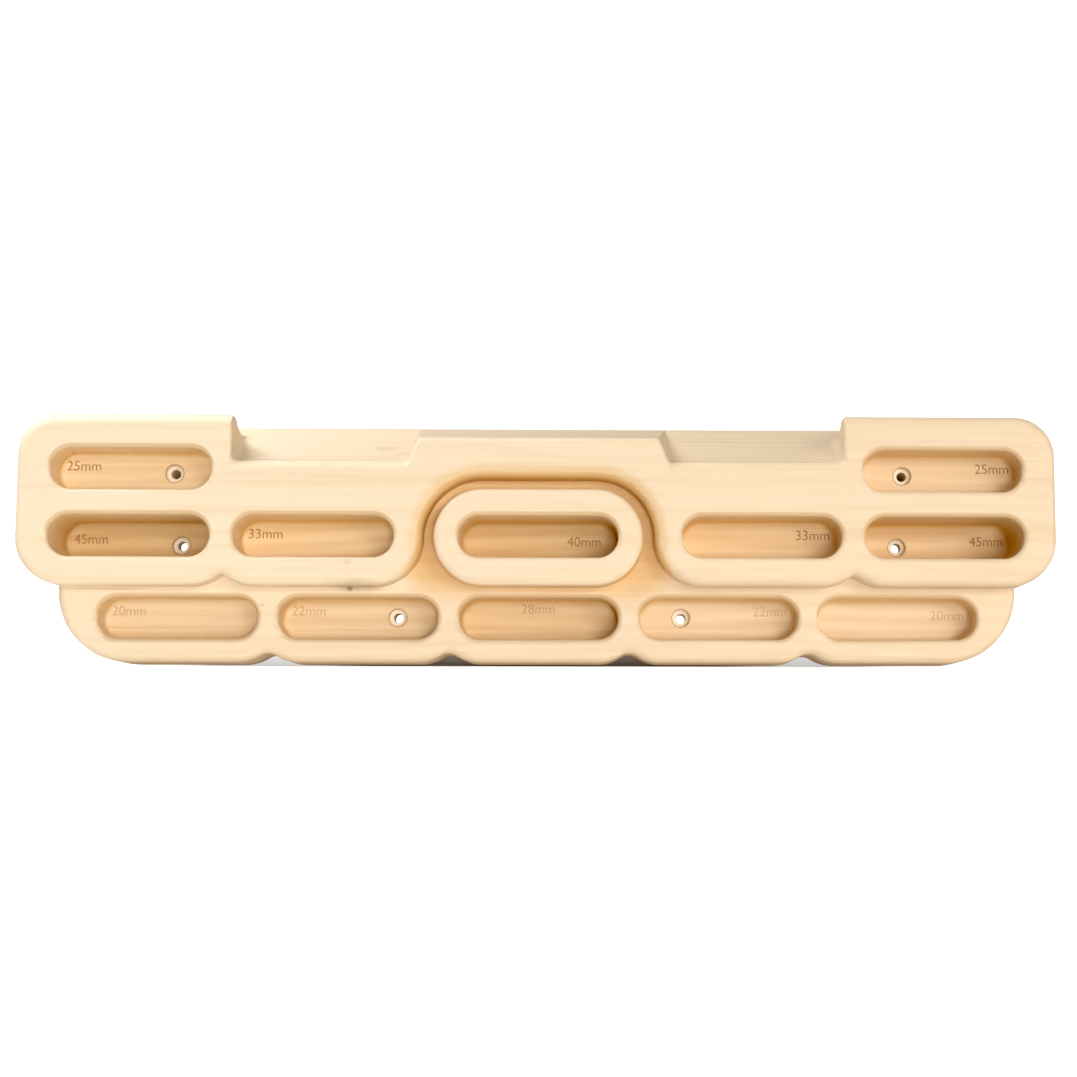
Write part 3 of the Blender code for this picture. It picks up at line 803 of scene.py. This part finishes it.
def math_node(tree, operation, first, second=0.0, third=0.0):
    node = add(tree, "ShaderNodeMath", operation=operation)
    for socket, value in zip(node.inputs, (first, second, third)):
        if isinstance(value, (int, float)):
            socket.default_value = value
        else:
            tree.links.new(value, socket)
    return node.outputs[0]


def times(tree, first, second):
    return math_node(tree, "MULTIPLY", first, second)


def plus(tree, first, second):
    return math_node(tree, "ADD", first, second)


def minus(tree, first, second):
    return math_node(tree, "SUBTRACT", first, second)


def times_plus(tree, first, second, third):
    return math_node(tree, "MULTIPLY_ADD", first, second, third)


def larger(tree, first, second):
    return math_node(tree, "MAXIMUM", first, second)


def scaled(tree, vector, scale, shift=(0.0, 0.0, 0.0)):
    node = add(tree, "ShaderNodeMapping")
    node.inputs["Location"].default_value = shift
    node.inputs["Scale"].default_value = scale
    tree.links.new(vector, node.inputs["Vector"])
    return node.outputs[0]


def noise(tree, vector, pitch, detail, rough, shift=(0.0, 0.0, 0.0)):
    node = add(tree, "ShaderNodeTexNoise")
    node.inputs["Scale"].default_value = 1.0
    node.inputs["Detail"].default_value = detail
    node.inputs["Roughness"].default_value = rough
    tree.links.new(scaled(tree, vector, pitch, shift), node.inputs["Vector"])
    return node.outputs["Fac"]


def distance_across(tree, first, second):
    """Distance made of two steps at right angles."""
    squares = plus(tree, times(tree, first, first), times(tree, second, second))
    return math_node(tree, "SQRT", squares)


def spread(tree, value, low, high, to_low=0.0, to_high=1.0, kind="SMOOTHSTEP"):
    """A step from to_low to to_high where the value goes from low to high, soft or LINEAR."""
    node = add(tree, "ShaderNodeMapRange", interpolation_type=kind)
    tree.links.new(value, node.inputs["Value"])
    limits = {"From Min": low, "From Max": high, "To Min": to_low, "To Max": to_high}
    for name, number in limits.items():
        node.inputs[name].default_value = number
    return node.outputs["Result"]


def blend_colors(tree, factor, first, second):
    node = add(tree, "ShaderNodeMix", data_type="RGBA")
    sockets = [item for item in node.inputs if item.type == "RGBA"]
    tree.links.new(factor, node.inputs[0])
    for socket, value in zip(sockets, (first, second)):
        if isinstance(value, tuple):
            socket.default_value = (*value, 1.0)
        else:
            tree.links.new(value, socket)
    return [item for item in node.outputs if item.type == "RGBA"][0]


def board_place(tree):
    return add(tree, "ShaderNodeTexCoord").outputs["Object"]


def split_axes(tree, vector):
    node = add(tree, "ShaderNodeSeparateXYZ")
    tree.links.new(vector, node.inputs[0])
    return node


def new_group(name, inputs, outputs):
    """A node group with numbers as inputs, and numbers and colours as outputs."""
    group = bpy.data.node_groups.new(name, "ShaderNodeTree")
    for label, value in inputs:
        socket = group.interface.new_socket(label, in_out="INPUT", socket_type="NodeSocketFloat")
        socket.default_value = value
    for label, kind in outputs:
        group.interface.new_socket(label, in_out="OUTPUT", socket_type="NodeSocket" + kind)
    return group, add(group, "NodeGroupInput"), add(group, "NodeGroupOutput")


# Darker marks, one of them partly painted shade: x, y, z of the middle and reach along x, y, z in
# mm, strength
MARKS = (
    (-118.7, -41.0, -30.8, 3.2, 7.0, 3.4, 0.95),
    (-118.0, -43.0, -30.0, 7.0, 12.0, 4.5, 0.40),
    (-114.0, -45.0, -29.6, 22.0, 30.0, 4.6, 0.42),
    (-118.3, -58.0, -16.4, 4.0, 3.0, 3.2, 0.20),
    (-116.7, -55.0, -23.0, 5.0, 4.0, 3.6, 0.18),
    # A dark line along the inner corner under the step: partly a dark line in the wood, partly
    # painted shade in that crease
    (-268.0, -39.5, -31.9, 38.0, 2.0, 0.8, 0.34),
    (-173.6, -39.5, -41.8, 2.0, 2.0, 1.4, 0.32),
    (-155.0, -55.0, 46.8, 4.2, 4.0, 2.0, 0.15),
    (-133.2, -56.0, 44.6, 5.2, 4.0, 2.4, 0.18),
    (134.9, -57.0, 45.2, 3.6, 4.0, 1.8, 0.12),
    (-98.5, -33.0, 59.0, 11.0, 8.0, 5.0, 0.19),
    (-86.5, -42.0, 54.2, 8.0, 6.0, 3.6, 0.15),
)


def left_mask(group, split):
    """The middle of the board and everything left of it."""
    return spread(group, split.outputs["X"], *MIDDLE_END, 1.0, 0.0)


def rim_shade_mask(group, reach):
    """Painted shade on the face along the outer edge of the channel."""
    inner = spread(group, reach, *RIM_START)
    return times(group, inner, spread(group, reach, *RIM_END, RIM_SHARE, 0.0))


def channel_mask(group, split, facing):
    """Two masks of painted shade in the channel around the boss: what lies behind the front, and
    its walls.
    """
    beside = minus(group, math_node(group, "ABSOLUTE", split.outputs["X"]), BOSS_REACH)
    beside = larger(group, beside, 0.0)
    above = split.outputs["Z"]
    reach = math_node(group, "SQRT", times_plus(group, above, above, times(group, beside, beside)))
    near = spread(group, reach, *CHANNEL_END, 1.0, 0.0)
    deep = spread(group, split.outputs["Y"], *BEHIND_FRONT)
    turned = times(group, spread(group, reach, *CHANNEL_START),
                   spread(group, facing.outputs["Y"], *TURNED_FROM_FRONT))
    turned = larger(group, turned, rim_shade_mask(group, reach))
    over_foot = spread(group, above, *CHANNEL_FOOT)
    before = spread(group, split.outputs["Y"], *CHANNEL_BACK, 1.0, 0.0)
    part = times(group, before, times(group, near, over_foot))
    return times(group, deep, part), times(group, turned, part)


def sunk_depth(group, split):
    """How far a place lies behind the face around it."""
    upper = spread(group, split.outputs["Z"], *STEP_LINE)
    face = times_plus(group, upper, -STEP_DEPTH, STEP_DEPTH - BOARD_DEPTH)
    return minus(group, split.outputs["Y"], face)


def pocket_depth_shade_mask(group, split):
    """Painted shade and warm bounce light that grow the deeper a pocket gets, less so towards the
    right and at the bottom right.
    """
    depth = spread(group, sunk_depth(group, split), *DEPTH_SHADE_RANGE, kind="LINEAR")
    right = spread(group, split.outputs["X"], *RIGHT_FADE, 1.0, RIGHT_DEPTH_SHADE)
    low = times(group, spread(group, split.outputs["X"], *LOW_RIGHT_START),
                spread(group, split.outputs["Z"], *BOTTOM_ROW_TOP, 1.0, 0.0))
    right = times(group, right, times_plus(group, low, LOW_RIGHT_CHANGE, 1.0))
    return times(group, depth, right)


def shaded_end_mask(group, split, facing):
    """Painted shade on the right-hand ends of the pockets in the middle and left of it, below the
    top row.
    """
    turned = spread(group, facing.outputs["X"], *TURNED_LEFT)
    under = spread(group, split.outputs["Z"], *TOP_ROW_BOTTOM, 1.0, 0.0)
    deep = spread(group, sunk_depth(group, split), *SHADED_END_DEPTH)
    return times(group, times(group, turned, deep), times(group, left_mask(group, split), under))


def deep_floor_shade_mask(group, split):
    """Painted shade on the floors of the deepest pockets and of the bottom row, in the middle and
    left of it.
    """
    deep = spread(group, sunk_depth(group, split), *DEEP_FLOOR_DEPTH)
    low = spread(group, split.outputs["Z"], *BOTTOM_ROW_TOP, LOW_FLOOR_SHARE, 0.0)
    return times(group, larger(group, deep, low), left_mask(group, split))


def lip_mask(group, split, facing):
    """Painted shade on the upper lips of the pockets."""
    mouth_part = spread(group, sunk_depth(group, split), *LIP_DEPTH, 1.0, 0.0)
    return times(group, mouth_part, spread(group, facing.outputs["Z"], *TURNED_DOWN))


def grain_figure(group, place, split, given):
    """Growth rings around the pith, streaks, fibres and flecks; returns four masks."""
    bend = noise(group, place, BEND_PITCH, 2.0, 0.5)
    sway = noise(group, place, SWAY_PITCH, 2.0, 0.5, (3.0, 1.0, 2.0))
    across = minus(group, split.outputs["Y"], given.outputs["Pith Depth"])
    above = minus(group, split.outputs["Z"], given.outputs["Pith Height"])
    distance = times_plus(group, bend, BEND_DEPTH, distance_across(group, across, above))
    distance = times_plus(group, sway, SWAY_DEPTH, distance)
    ring = math_node(group, "FRACT", times(group, distance, GROWTH_RINGS))
    late = spread(group, math_node(group, "PINGPONG", ring, 0.5), 0.0, 0.5)
    streak = noise(group, place, STREAK_PITCH, 3.0, 0.6, (7.0, 0.0, 0.0))
    fibre = noise(group, place, FIBRE_PITCH, 3.0, 0.6)
    fleck = noise(group, place, FLECK_PITCH, 1.0, 0.5, (0.0, 2.0, 9.0))
    return late, streak, fibre, spread(group, fleck, *FLECK_RANGE)


def grain_darkness(group, split, given, late, streak, fibre, fleck):
    """How far the wood goes from its light to its dark colour, with painted shade towards the
    right.
    """
    contrast = times_plus(group, given.outputs["In Pocket"], FRESH_RING_CONTRAST, RING_CONTRAST)
    darkness = times(group, late, contrast)
    streak = spread(group, streak, *STREAK_RANGE, 0.0, STREAK_CONTRAST)
    darkness = plus(group, darkness, streak)
    fibre = spread(group, fibre, *FIBRE_RANGE, 0.0, FIBRE_CONTRAST)
    darkness = plus(group, darkness, fibre)
    darkness = plus(group, darkness, times(group, fleck, FLECK_CONTRAST))
    darkness = plus(group, darkness, given.outputs["Tone"])
    # Painted shade: the wood darkens steadily towards the right.
    return times_plus(group, split.outputs["X"], RIGHTWARD_PAINTED_SHADE, darkness)


def wood_color(group, place, split, facing, in_pocket, darkness):
    """Outside and pocket colours with painted shade and bounce light by place; returns the colour
    and the share of the warm pocket colour.
    """
    cloud = noise(group, place, CLOUD_PITCH, 2.0, 0.5, (1.0, 5.0, 0.0))
    cloud = spread(group, cloud, *CLOUD_RANGE, 0.0, CLOUD_CONTRAST)
    outer = blend_colors(group, darkness, OUTSIDE_LIGHT, OUTSIDE_DARK)
    outer = blend_colors(group, cloud, outer, OUTSIDE_CLOUD)
    inner = blend_colors(group, times(group, darkness, POCKET_CONTRAST), POCKET_LIGHT, POCKET_DARK)
    # Painted shade: faces that turn down take more of the warm, dark pocket colour.
    overhead = spread(group, facing.outputs["Z"], *OVERHEAD, 0.0, OVERHEAD_SHADE_SHARE)
    depth = plus(group, pocket_depth_shade_mask(group, split), overhead)
    inside = times(group, in_pocket, math_node(group, "MINIMUM", depth, 1.0))
    outside = minus(group, 1.0, in_pocket)
    channel, walls = channel_mask(group, split, facing)
    channel, walls = times(group, outside, channel), times(group, outside, walls)
    # The share of the warm pocket colour: painted bounce light and shade in the pockets and in the
    # channel.
    warm_shade_share = larger(group, inside, larger(group, channel, walls))
    color = blend_colors(group, warm_shade_share, outer, inner)
    # Painted shade browns the channel floor, the arch and the channel walls.
    floor_share = spread(group, split.outputs["Z"], *ARCH_FLOOR_START,
                         CHANNEL_FLOOR_SHARE, ARCH_FLOOR_SHARE)
    channel_shade = larger(group, times(group, channel, floor_share),
                     times(group, walls, CHANNEL_WALL_SHARE))
    color = blend_colors(group, channel_shade, color, CHANNEL_SHADE_BROWN)
    # Painted shade on the upper lips of the pockets.
    lip = times(group, in_pocket, lip_mask(group, split, facing))
    color = blend_colors(group, times(group, lip, LIP_SHARE), color, LIP_SHADE_BROWN)
    # Painted shade on the right-hand ends and the deep floors of the pockets.
    ends = times(group, shaded_end_mask(group, split, facing), SHADED_END_SHARE)
    floors = times(group, deep_floor_shade_mask(group, split), DEEP_FLOOR_SHARE)
    shade = times(group, in_pocket, larger(group, ends, floors))
    return blend_colors(group, shade, color, SHADED_BROWN), warm_shade_share


def wood_grain_group():
    """Pale fine-grained hardwood with its fibres along X, with painted shade and bounce light in
    the recesses.
    """
    inputs = (("Pith Depth", 0.2), ("Pith Height", -0.1), ("Tone", 0.0), ("In Pocket", 0.0))
    outputs = (("Color", "Color"), ("Roughness", "Float"), ("Height", "Float"))
    group, given, result = new_group("wood_grain", inputs, outputs)
    coordinates = add(group, "ShaderNodeTexCoord")
    place = coordinates.outputs["Object"]
    split = split_axes(group, place)
    facing = split_axes(group, coordinates.outputs["Normal"])
    late, streak, fibre, fleck = grain_figure(group, place, split, given)
    darkness = grain_darkness(group, split, given, late, streak, fibre, fleck)
    color, warm_shade_share = wood_color(group, place, split, facing, given.outputs["In Pocket"], darkness)
    end_grain = math_node(group, "ABSOLUTE", facing.outputs["X"])
    end_grain = spread(group, end_grain, *END_GRAIN_TURN)
    end_share = times_plus(group, warm_shade_share, FRESH_END_GRAIN_SHARE, END_GRAIN_SHARE)
    end_share = times(group, end_grain, end_share)
    color = blend_colors(group, end_share, color, END_GRAIN_BROWN)
    group.links.new(color, result.inputs["Color"])
    roughness = times_plus(group, fibre, FIBRE_ROUGHNESS, WOOD_ROUGHNESS)
    roughness = times_plus(group, end_grain, END_GRAIN_ROUGHNESS, roughness)
    group.links.new(roughness, result.inputs["Roughness"])
    height = times_plus(group, late, RING_RELIEF, fibre)
    height = times_plus(group, fleck, FLECK_RELIEF, height)
    group.links.new(height, result.inputs["Height"])
    return group


def ring_mask(group, place):
    """Dark rims of the screw holes' seats: by distance from the six axes, not on the back."""
    split = split_axes(group, place)
    side = math_node(group, "ABSOLUTE", split.outputs["X"])
    total = None
    for x, z, _floor in SCREW_HOLES:
        beside = minus(group, side, x)
        above = minus(group, split.outputs["Z"], z)
        off = minus(group, distance_across(group, beside, above), SCREW_HEAD_RADIUS)
        off = math_node(group, "ABSOLUTE", off)
        mask = spread(group, off, *SEAT_RIM_WIDTH, SEAT_RIM_SHARE, 0.0)
        total = mask if total is None else larger(group, total, mask)
    return times(group, total, spread(group, split.outputs["Y"], *NEAR_BACK, 1.0, 0.0))


def marks_group():
    """Masks of the knots and darker patches, one partly painted shade in the crease under the
    step, and of the holes' rims.
    """
    group, _given, result = new_group("wood_marks", (), (("Mask", "Float"), ("Rims", "Float")))
    place = board_place(group)
    wander = noise(group, place, MARK_PITCH, 3.0, 0.6)
    total = None
    for x, y, z, along, inwards, upwards, strength in MARKS:
        shift = (-x / along, -y / inwards, -z / upwards)
        scale = (1000.0 / along, 1000.0 / inwards, 1000.0 / upwards)
        length = add(group, "ShaderNodeVectorMath", operation="LENGTH")
        group.links.new(scaled(group, place, scale, shift), length.inputs[0])
        reach = times_plus(group, wander, MARK_WANDER, length.outputs["Value"])
        mask = spread(group, reach, *MARK_EDGE, strength, 0.0)
        total = mask if total is None else larger(group, total, mask)
    group.links.new(total, result.inputs["Mask"])
    group.links.new(ring_mask(group, place), result.inputs["Rims"])
    return group


def new_material(name):
    material = bpy.data.materials.new(name)
    material.use_nodes = True
    return material, material.node_tree, material.node_tree.nodes["Principled BSDF"]


def wood_material(name, grain, marks, pith, tone, warm_shade_share=0.0):
    """One stave's sanded outside, or its pocket wood with its last argument at 1, which turns on
    the painted shade and bounce light of the pockets.
    """
    material, tree, shader = new_material(name)
    wood = add(tree, "ShaderNodeGroup", node_tree=grain)
    wood.inputs["Pith Depth"].default_value, wood.inputs["Pith Height"].default_value = pith
    wood.inputs["Tone"].default_value = tone
    wood.inputs["In Pocket"].default_value = warm_shade_share
    spots = add(tree, "ShaderNodeGroup", node_tree=marks)
    dark = larger(tree, spots.outputs["Mask"], spots.outputs["Rims"])
    color = blend_colors(tree, dark, wood.outputs["Color"], MARK_BROWN)
    tree.links.new(color, shader.inputs["Base Color"])
    tree.links.new(wood.outputs["Roughness"], shader.inputs["Roughness"])
    bump = add(tree, "ShaderNodeBump")
    bump.inputs["Strength"].default_value = BUMP_STRENGTH
    bump.inputs["Distance"].default_value = BUMP_HEIGHT
    tree.links.new(wood.outputs["Height"], bump.inputs["Height"])
    tree.links.new(bump.outputs["Normal"], shader.inputs["Normal"])
    return material


def seat_material(grain):
    """Pale wood in the screw holes, paler in patches."""
    material, tree, shader = new_material("drilled_wood")
    wood = add(tree, "ShaderNodeGroup", node_tree=grain)
    place = board_place(tree)
    turned = noise(tree, place, SEAT_PATCH_PITCH, 2.0, 0.6)
    factor = spread(tree, turned, *PATCH_RANGE, *DRILLED_SHARES)
    color = blend_colors(tree, factor, wood.outputs["Color"], DRILLED_PALE)
    tree.links.new(color, shader.inputs["Base Color"])
    tree.links.new(wood.outputs["Roughness"], shader.inputs["Roughness"])
    return material


def burnt_material(grain):
    """Wood browned by the burning of the depth numbers, paler in the bottom row."""
    material, tree, shader = new_material("burnt_number")
    wood = add(tree, "ShaderNodeGroup", node_tree=grain)
    wood.inputs["In Pocket"].default_value = 1.0
    place = board_place(tree)
    uneven = noise(tree, place, BURN_PITCH, 2.0, 0.6)
    row = spread(tree, split_axes(tree, place).outputs["Z"], *BURNT_ROW, LOW_ROW_BURN, 1.0)
    factor = times(tree, spread(tree, uneven, *PATCH_RANGE, *BURNT_SHARES), row)
    color = blend_colors(tree, factor, wood.outputs["Color"], BURNT_BROWN)
    tree.links.new(color, shader.inputs["Base Color"])
    shader.inputs["Roughness"].default_value = BURNT_ROUGHNESS
    return material


# Floor, light and camera

def open_floor_mask(tree):
    """The floor that stays white; behind the hollows of the lower edge it is darker, a painted
    shadow.
    """
    split = split_axes(tree, board_place(tree))
    side = math_node(tree, "ABSOLUTE", split.outputs["X"])
    inner, outer = [spread(tree, side, *ends, 0.0, 0.5) for ends in FLOOR_STEPS]
    before = spread(tree, split.outputs["Y"], *FLOOR_BEFORE, 1.0, 0.0)
    return larger(tree, plus(tree, inner, outer), before)


def stage_floor():
    """A pale floor that falls a little towards the front; it lets the low light through."""
    bm = bmesh.new()
    bmesh.ops.create_grid(bm, x_segments=1, y_segments=1, size=1.0)
    bmesh.ops.scale(bm, verts=bm.verts, vec=FLOOR_SCALE)
    bmesh.ops.translate(bm, verts=bm.verts, vec=FLOOR_SHIFT)
    tilt = Matrix.Rotation(math.radians(FLOOR_TILT), 3, "X")
    bmesh.ops.rotate(bm, verts=bm.verts, cent=(0, 0, 0), matrix=tilt)
    bmesh.ops.translate(bm, verts=bm.verts, vec=(0.0, 0.0, BOARD_BOTTOM - FLOOR_DROP))
    floor = new_body("floor", bm)
    material, tree, shader = new_material("pale_floor")
    shader.inputs["Roughness"].default_value = FLOOR_ROUGHNESS
    shader.inputs["Specular IOR Level"].default_value = FLOOR_GLOSS
    shader.inputs["Emission Color"].default_value = (*WHITE, 1.0)
    open_floor = open_floor_mask(tree)
    color = blend_colors(tree, open_floor, FLOOR_SHADED, FLOOR_PALE)
    tree.links.new(color, shader.inputs["Base Color"])
    seen = add(tree, "ShaderNodeLightPath").outputs["Is Camera Ray"]
    glow = times_plus(tree, seen, FLOOR_GLOW - FLOOR_LIGHT, FLOOR_LIGHT)
    # The floor glows less where its shadow is painted.
    tree.links.new(times(tree, glow, open_floor), shader.inputs["Emission Strength"])
    floor.data.materials.append(material)
    floor.visible_shadow = False


def soft_lamp(name, place, target, strength, color):
    lamp = bpy.data.lights.new(name, "AREA")
    lamp.shape = "RECTANGLE"
    lamp.size, lamp.size_y = LAMP_SIZE
    lamp.energy = strength
    lamp.color = color
    item = new_object(name, lamp)
    item.location = place
    item.rotation_euler = (Vector(target) - Vector(place)).to_track_quat("-Z", "Y").to_euler()


def soft_sun(name, turn, rise, strength, softness):
    lamp = bpy.data.lights.new(name, "SUN")
    lamp.energy = strength
    lamp.angle = math.radians(softness)
    turn, rise = math.radians(turn), math.radians(rise)
    level = math.cos(rise)
    place = Vector((math.sin(turn) * level, -math.cos(turn) * level, math.sin(rise)))
    new_object(name, lamp).rotation_euler = (-place).to_track_quat("-Z", "Y").to_euler()


def stage_light():
    """A white room that adds little light, soft frontal suns, two top lamps and a side lamp."""
    world = bpy.data.worlds.new("studio")
    bpy.context.scene.world = world
    world.use_nodes = True
    tree = world.node_tree
    sky = tree.nodes["Background"]
    sky.inputs["Color"].default_value = (*WHITE, 1.0)
    seen = add(tree, "ShaderNodeLightPath").outputs["Is Camera Ray"]
    strength = times_plus(tree, seen, ROOM_GLOW, SURROUND)
    tree.links.new(strength, sky.inputs["Strength"])
    for settings in SOFT_SUNS:
        soft_sun(*settings)
    for settings in SOFT_LAMPS:
        soft_lamp(*settings)


def stage_camera():
    """The camera at the photograph's viewing angle, a little below the middle, looking up."""
    turn, rise, roll = CAMERA_TURN, CAMERA_RISE, CAMERA_ROLL
    right = Vector((math.cos(turn), -math.sin(turn), 0.0))
    level = math.cos(rise)
    ahead = Vector((level * math.sin(turn), level * math.cos(turn), math.sin(rise)))
    up = right.cross(ahead)
    across = math.cos(roll) * right - math.sin(roll) * up
    upward = math.sin(roll) * right + math.cos(roll) * up
    lens = bpy.data.cameras.new("camera")
    lens.lens = FOCAL_PIXELS * SENSOR / PICTURE_WIDTH
    lens.sensor_width = SENSOR
    lens.shift_x = SHIFT_PIXELS / PICTURE_WIDTH
    lens.clip_start, lens.clip_end = CAMERA_REACH
    camera = new_object("camera", lens)
    matrix = Matrix((across, upward, -ahead)).transposed().to_4x4()
    matrix.translation = Vector(CAMERA_PLACE_MM) * MM
    camera.matrix_world = matrix
    bpy.context.scene.camera = camera
    view = bpy.context.scene.view_settings
    view.view_transform = "Standard"
    view.use_curve_mapping = True
    view.curve_mapping.black_level = (BLACK_LEVEL,) * 3
    view.curve_mapping.update()


STAVES = (
    # node, middle of its growth rings (y, z), tone
    ("stave_1_bottom", (0.16, -0.17), 0.00),
    ("stave_2_lower_pockets", (0.19, 0.05), 0.02),
    ("stave_3_step", (-0.24, -0.12), -0.01),
    ("stave_4_middle", (0.17, 0.06), 0.00),
    ("stave_5_arch", (0.22, -0.09), 0.01),
    ("stave_6_upper_pockets", (-0.21, 0.13), 0.00),
    ("stave_7_top", (0.18, -0.05), 0.01),
)


def build_scene():
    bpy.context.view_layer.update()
    grain, marks = wood_grain_group(), marks_group()
    seat, burnt = seat_material(grain), burnt_material(grain)
    finishes = []
    for name, pith, tone in STAVES:
        outside = wood_material(name + "_fine_wood", grain, marks, pith, tone)
        inside = wood_material(name + "_pocket_wood", grain, marks, pith, tone, 1.0)
        finishes.append((outside, inside, seat, burnt))
    board = milled_board(*finishes[0])
    for index, (name, _pith, _tone) in enumerate(STAVES):
        cut_stave(board, index, name, finishes[index])
    bpy.data.objects.remove(board)
    stage_floor()
    stage_light()
    stage_camera()


build_scene()
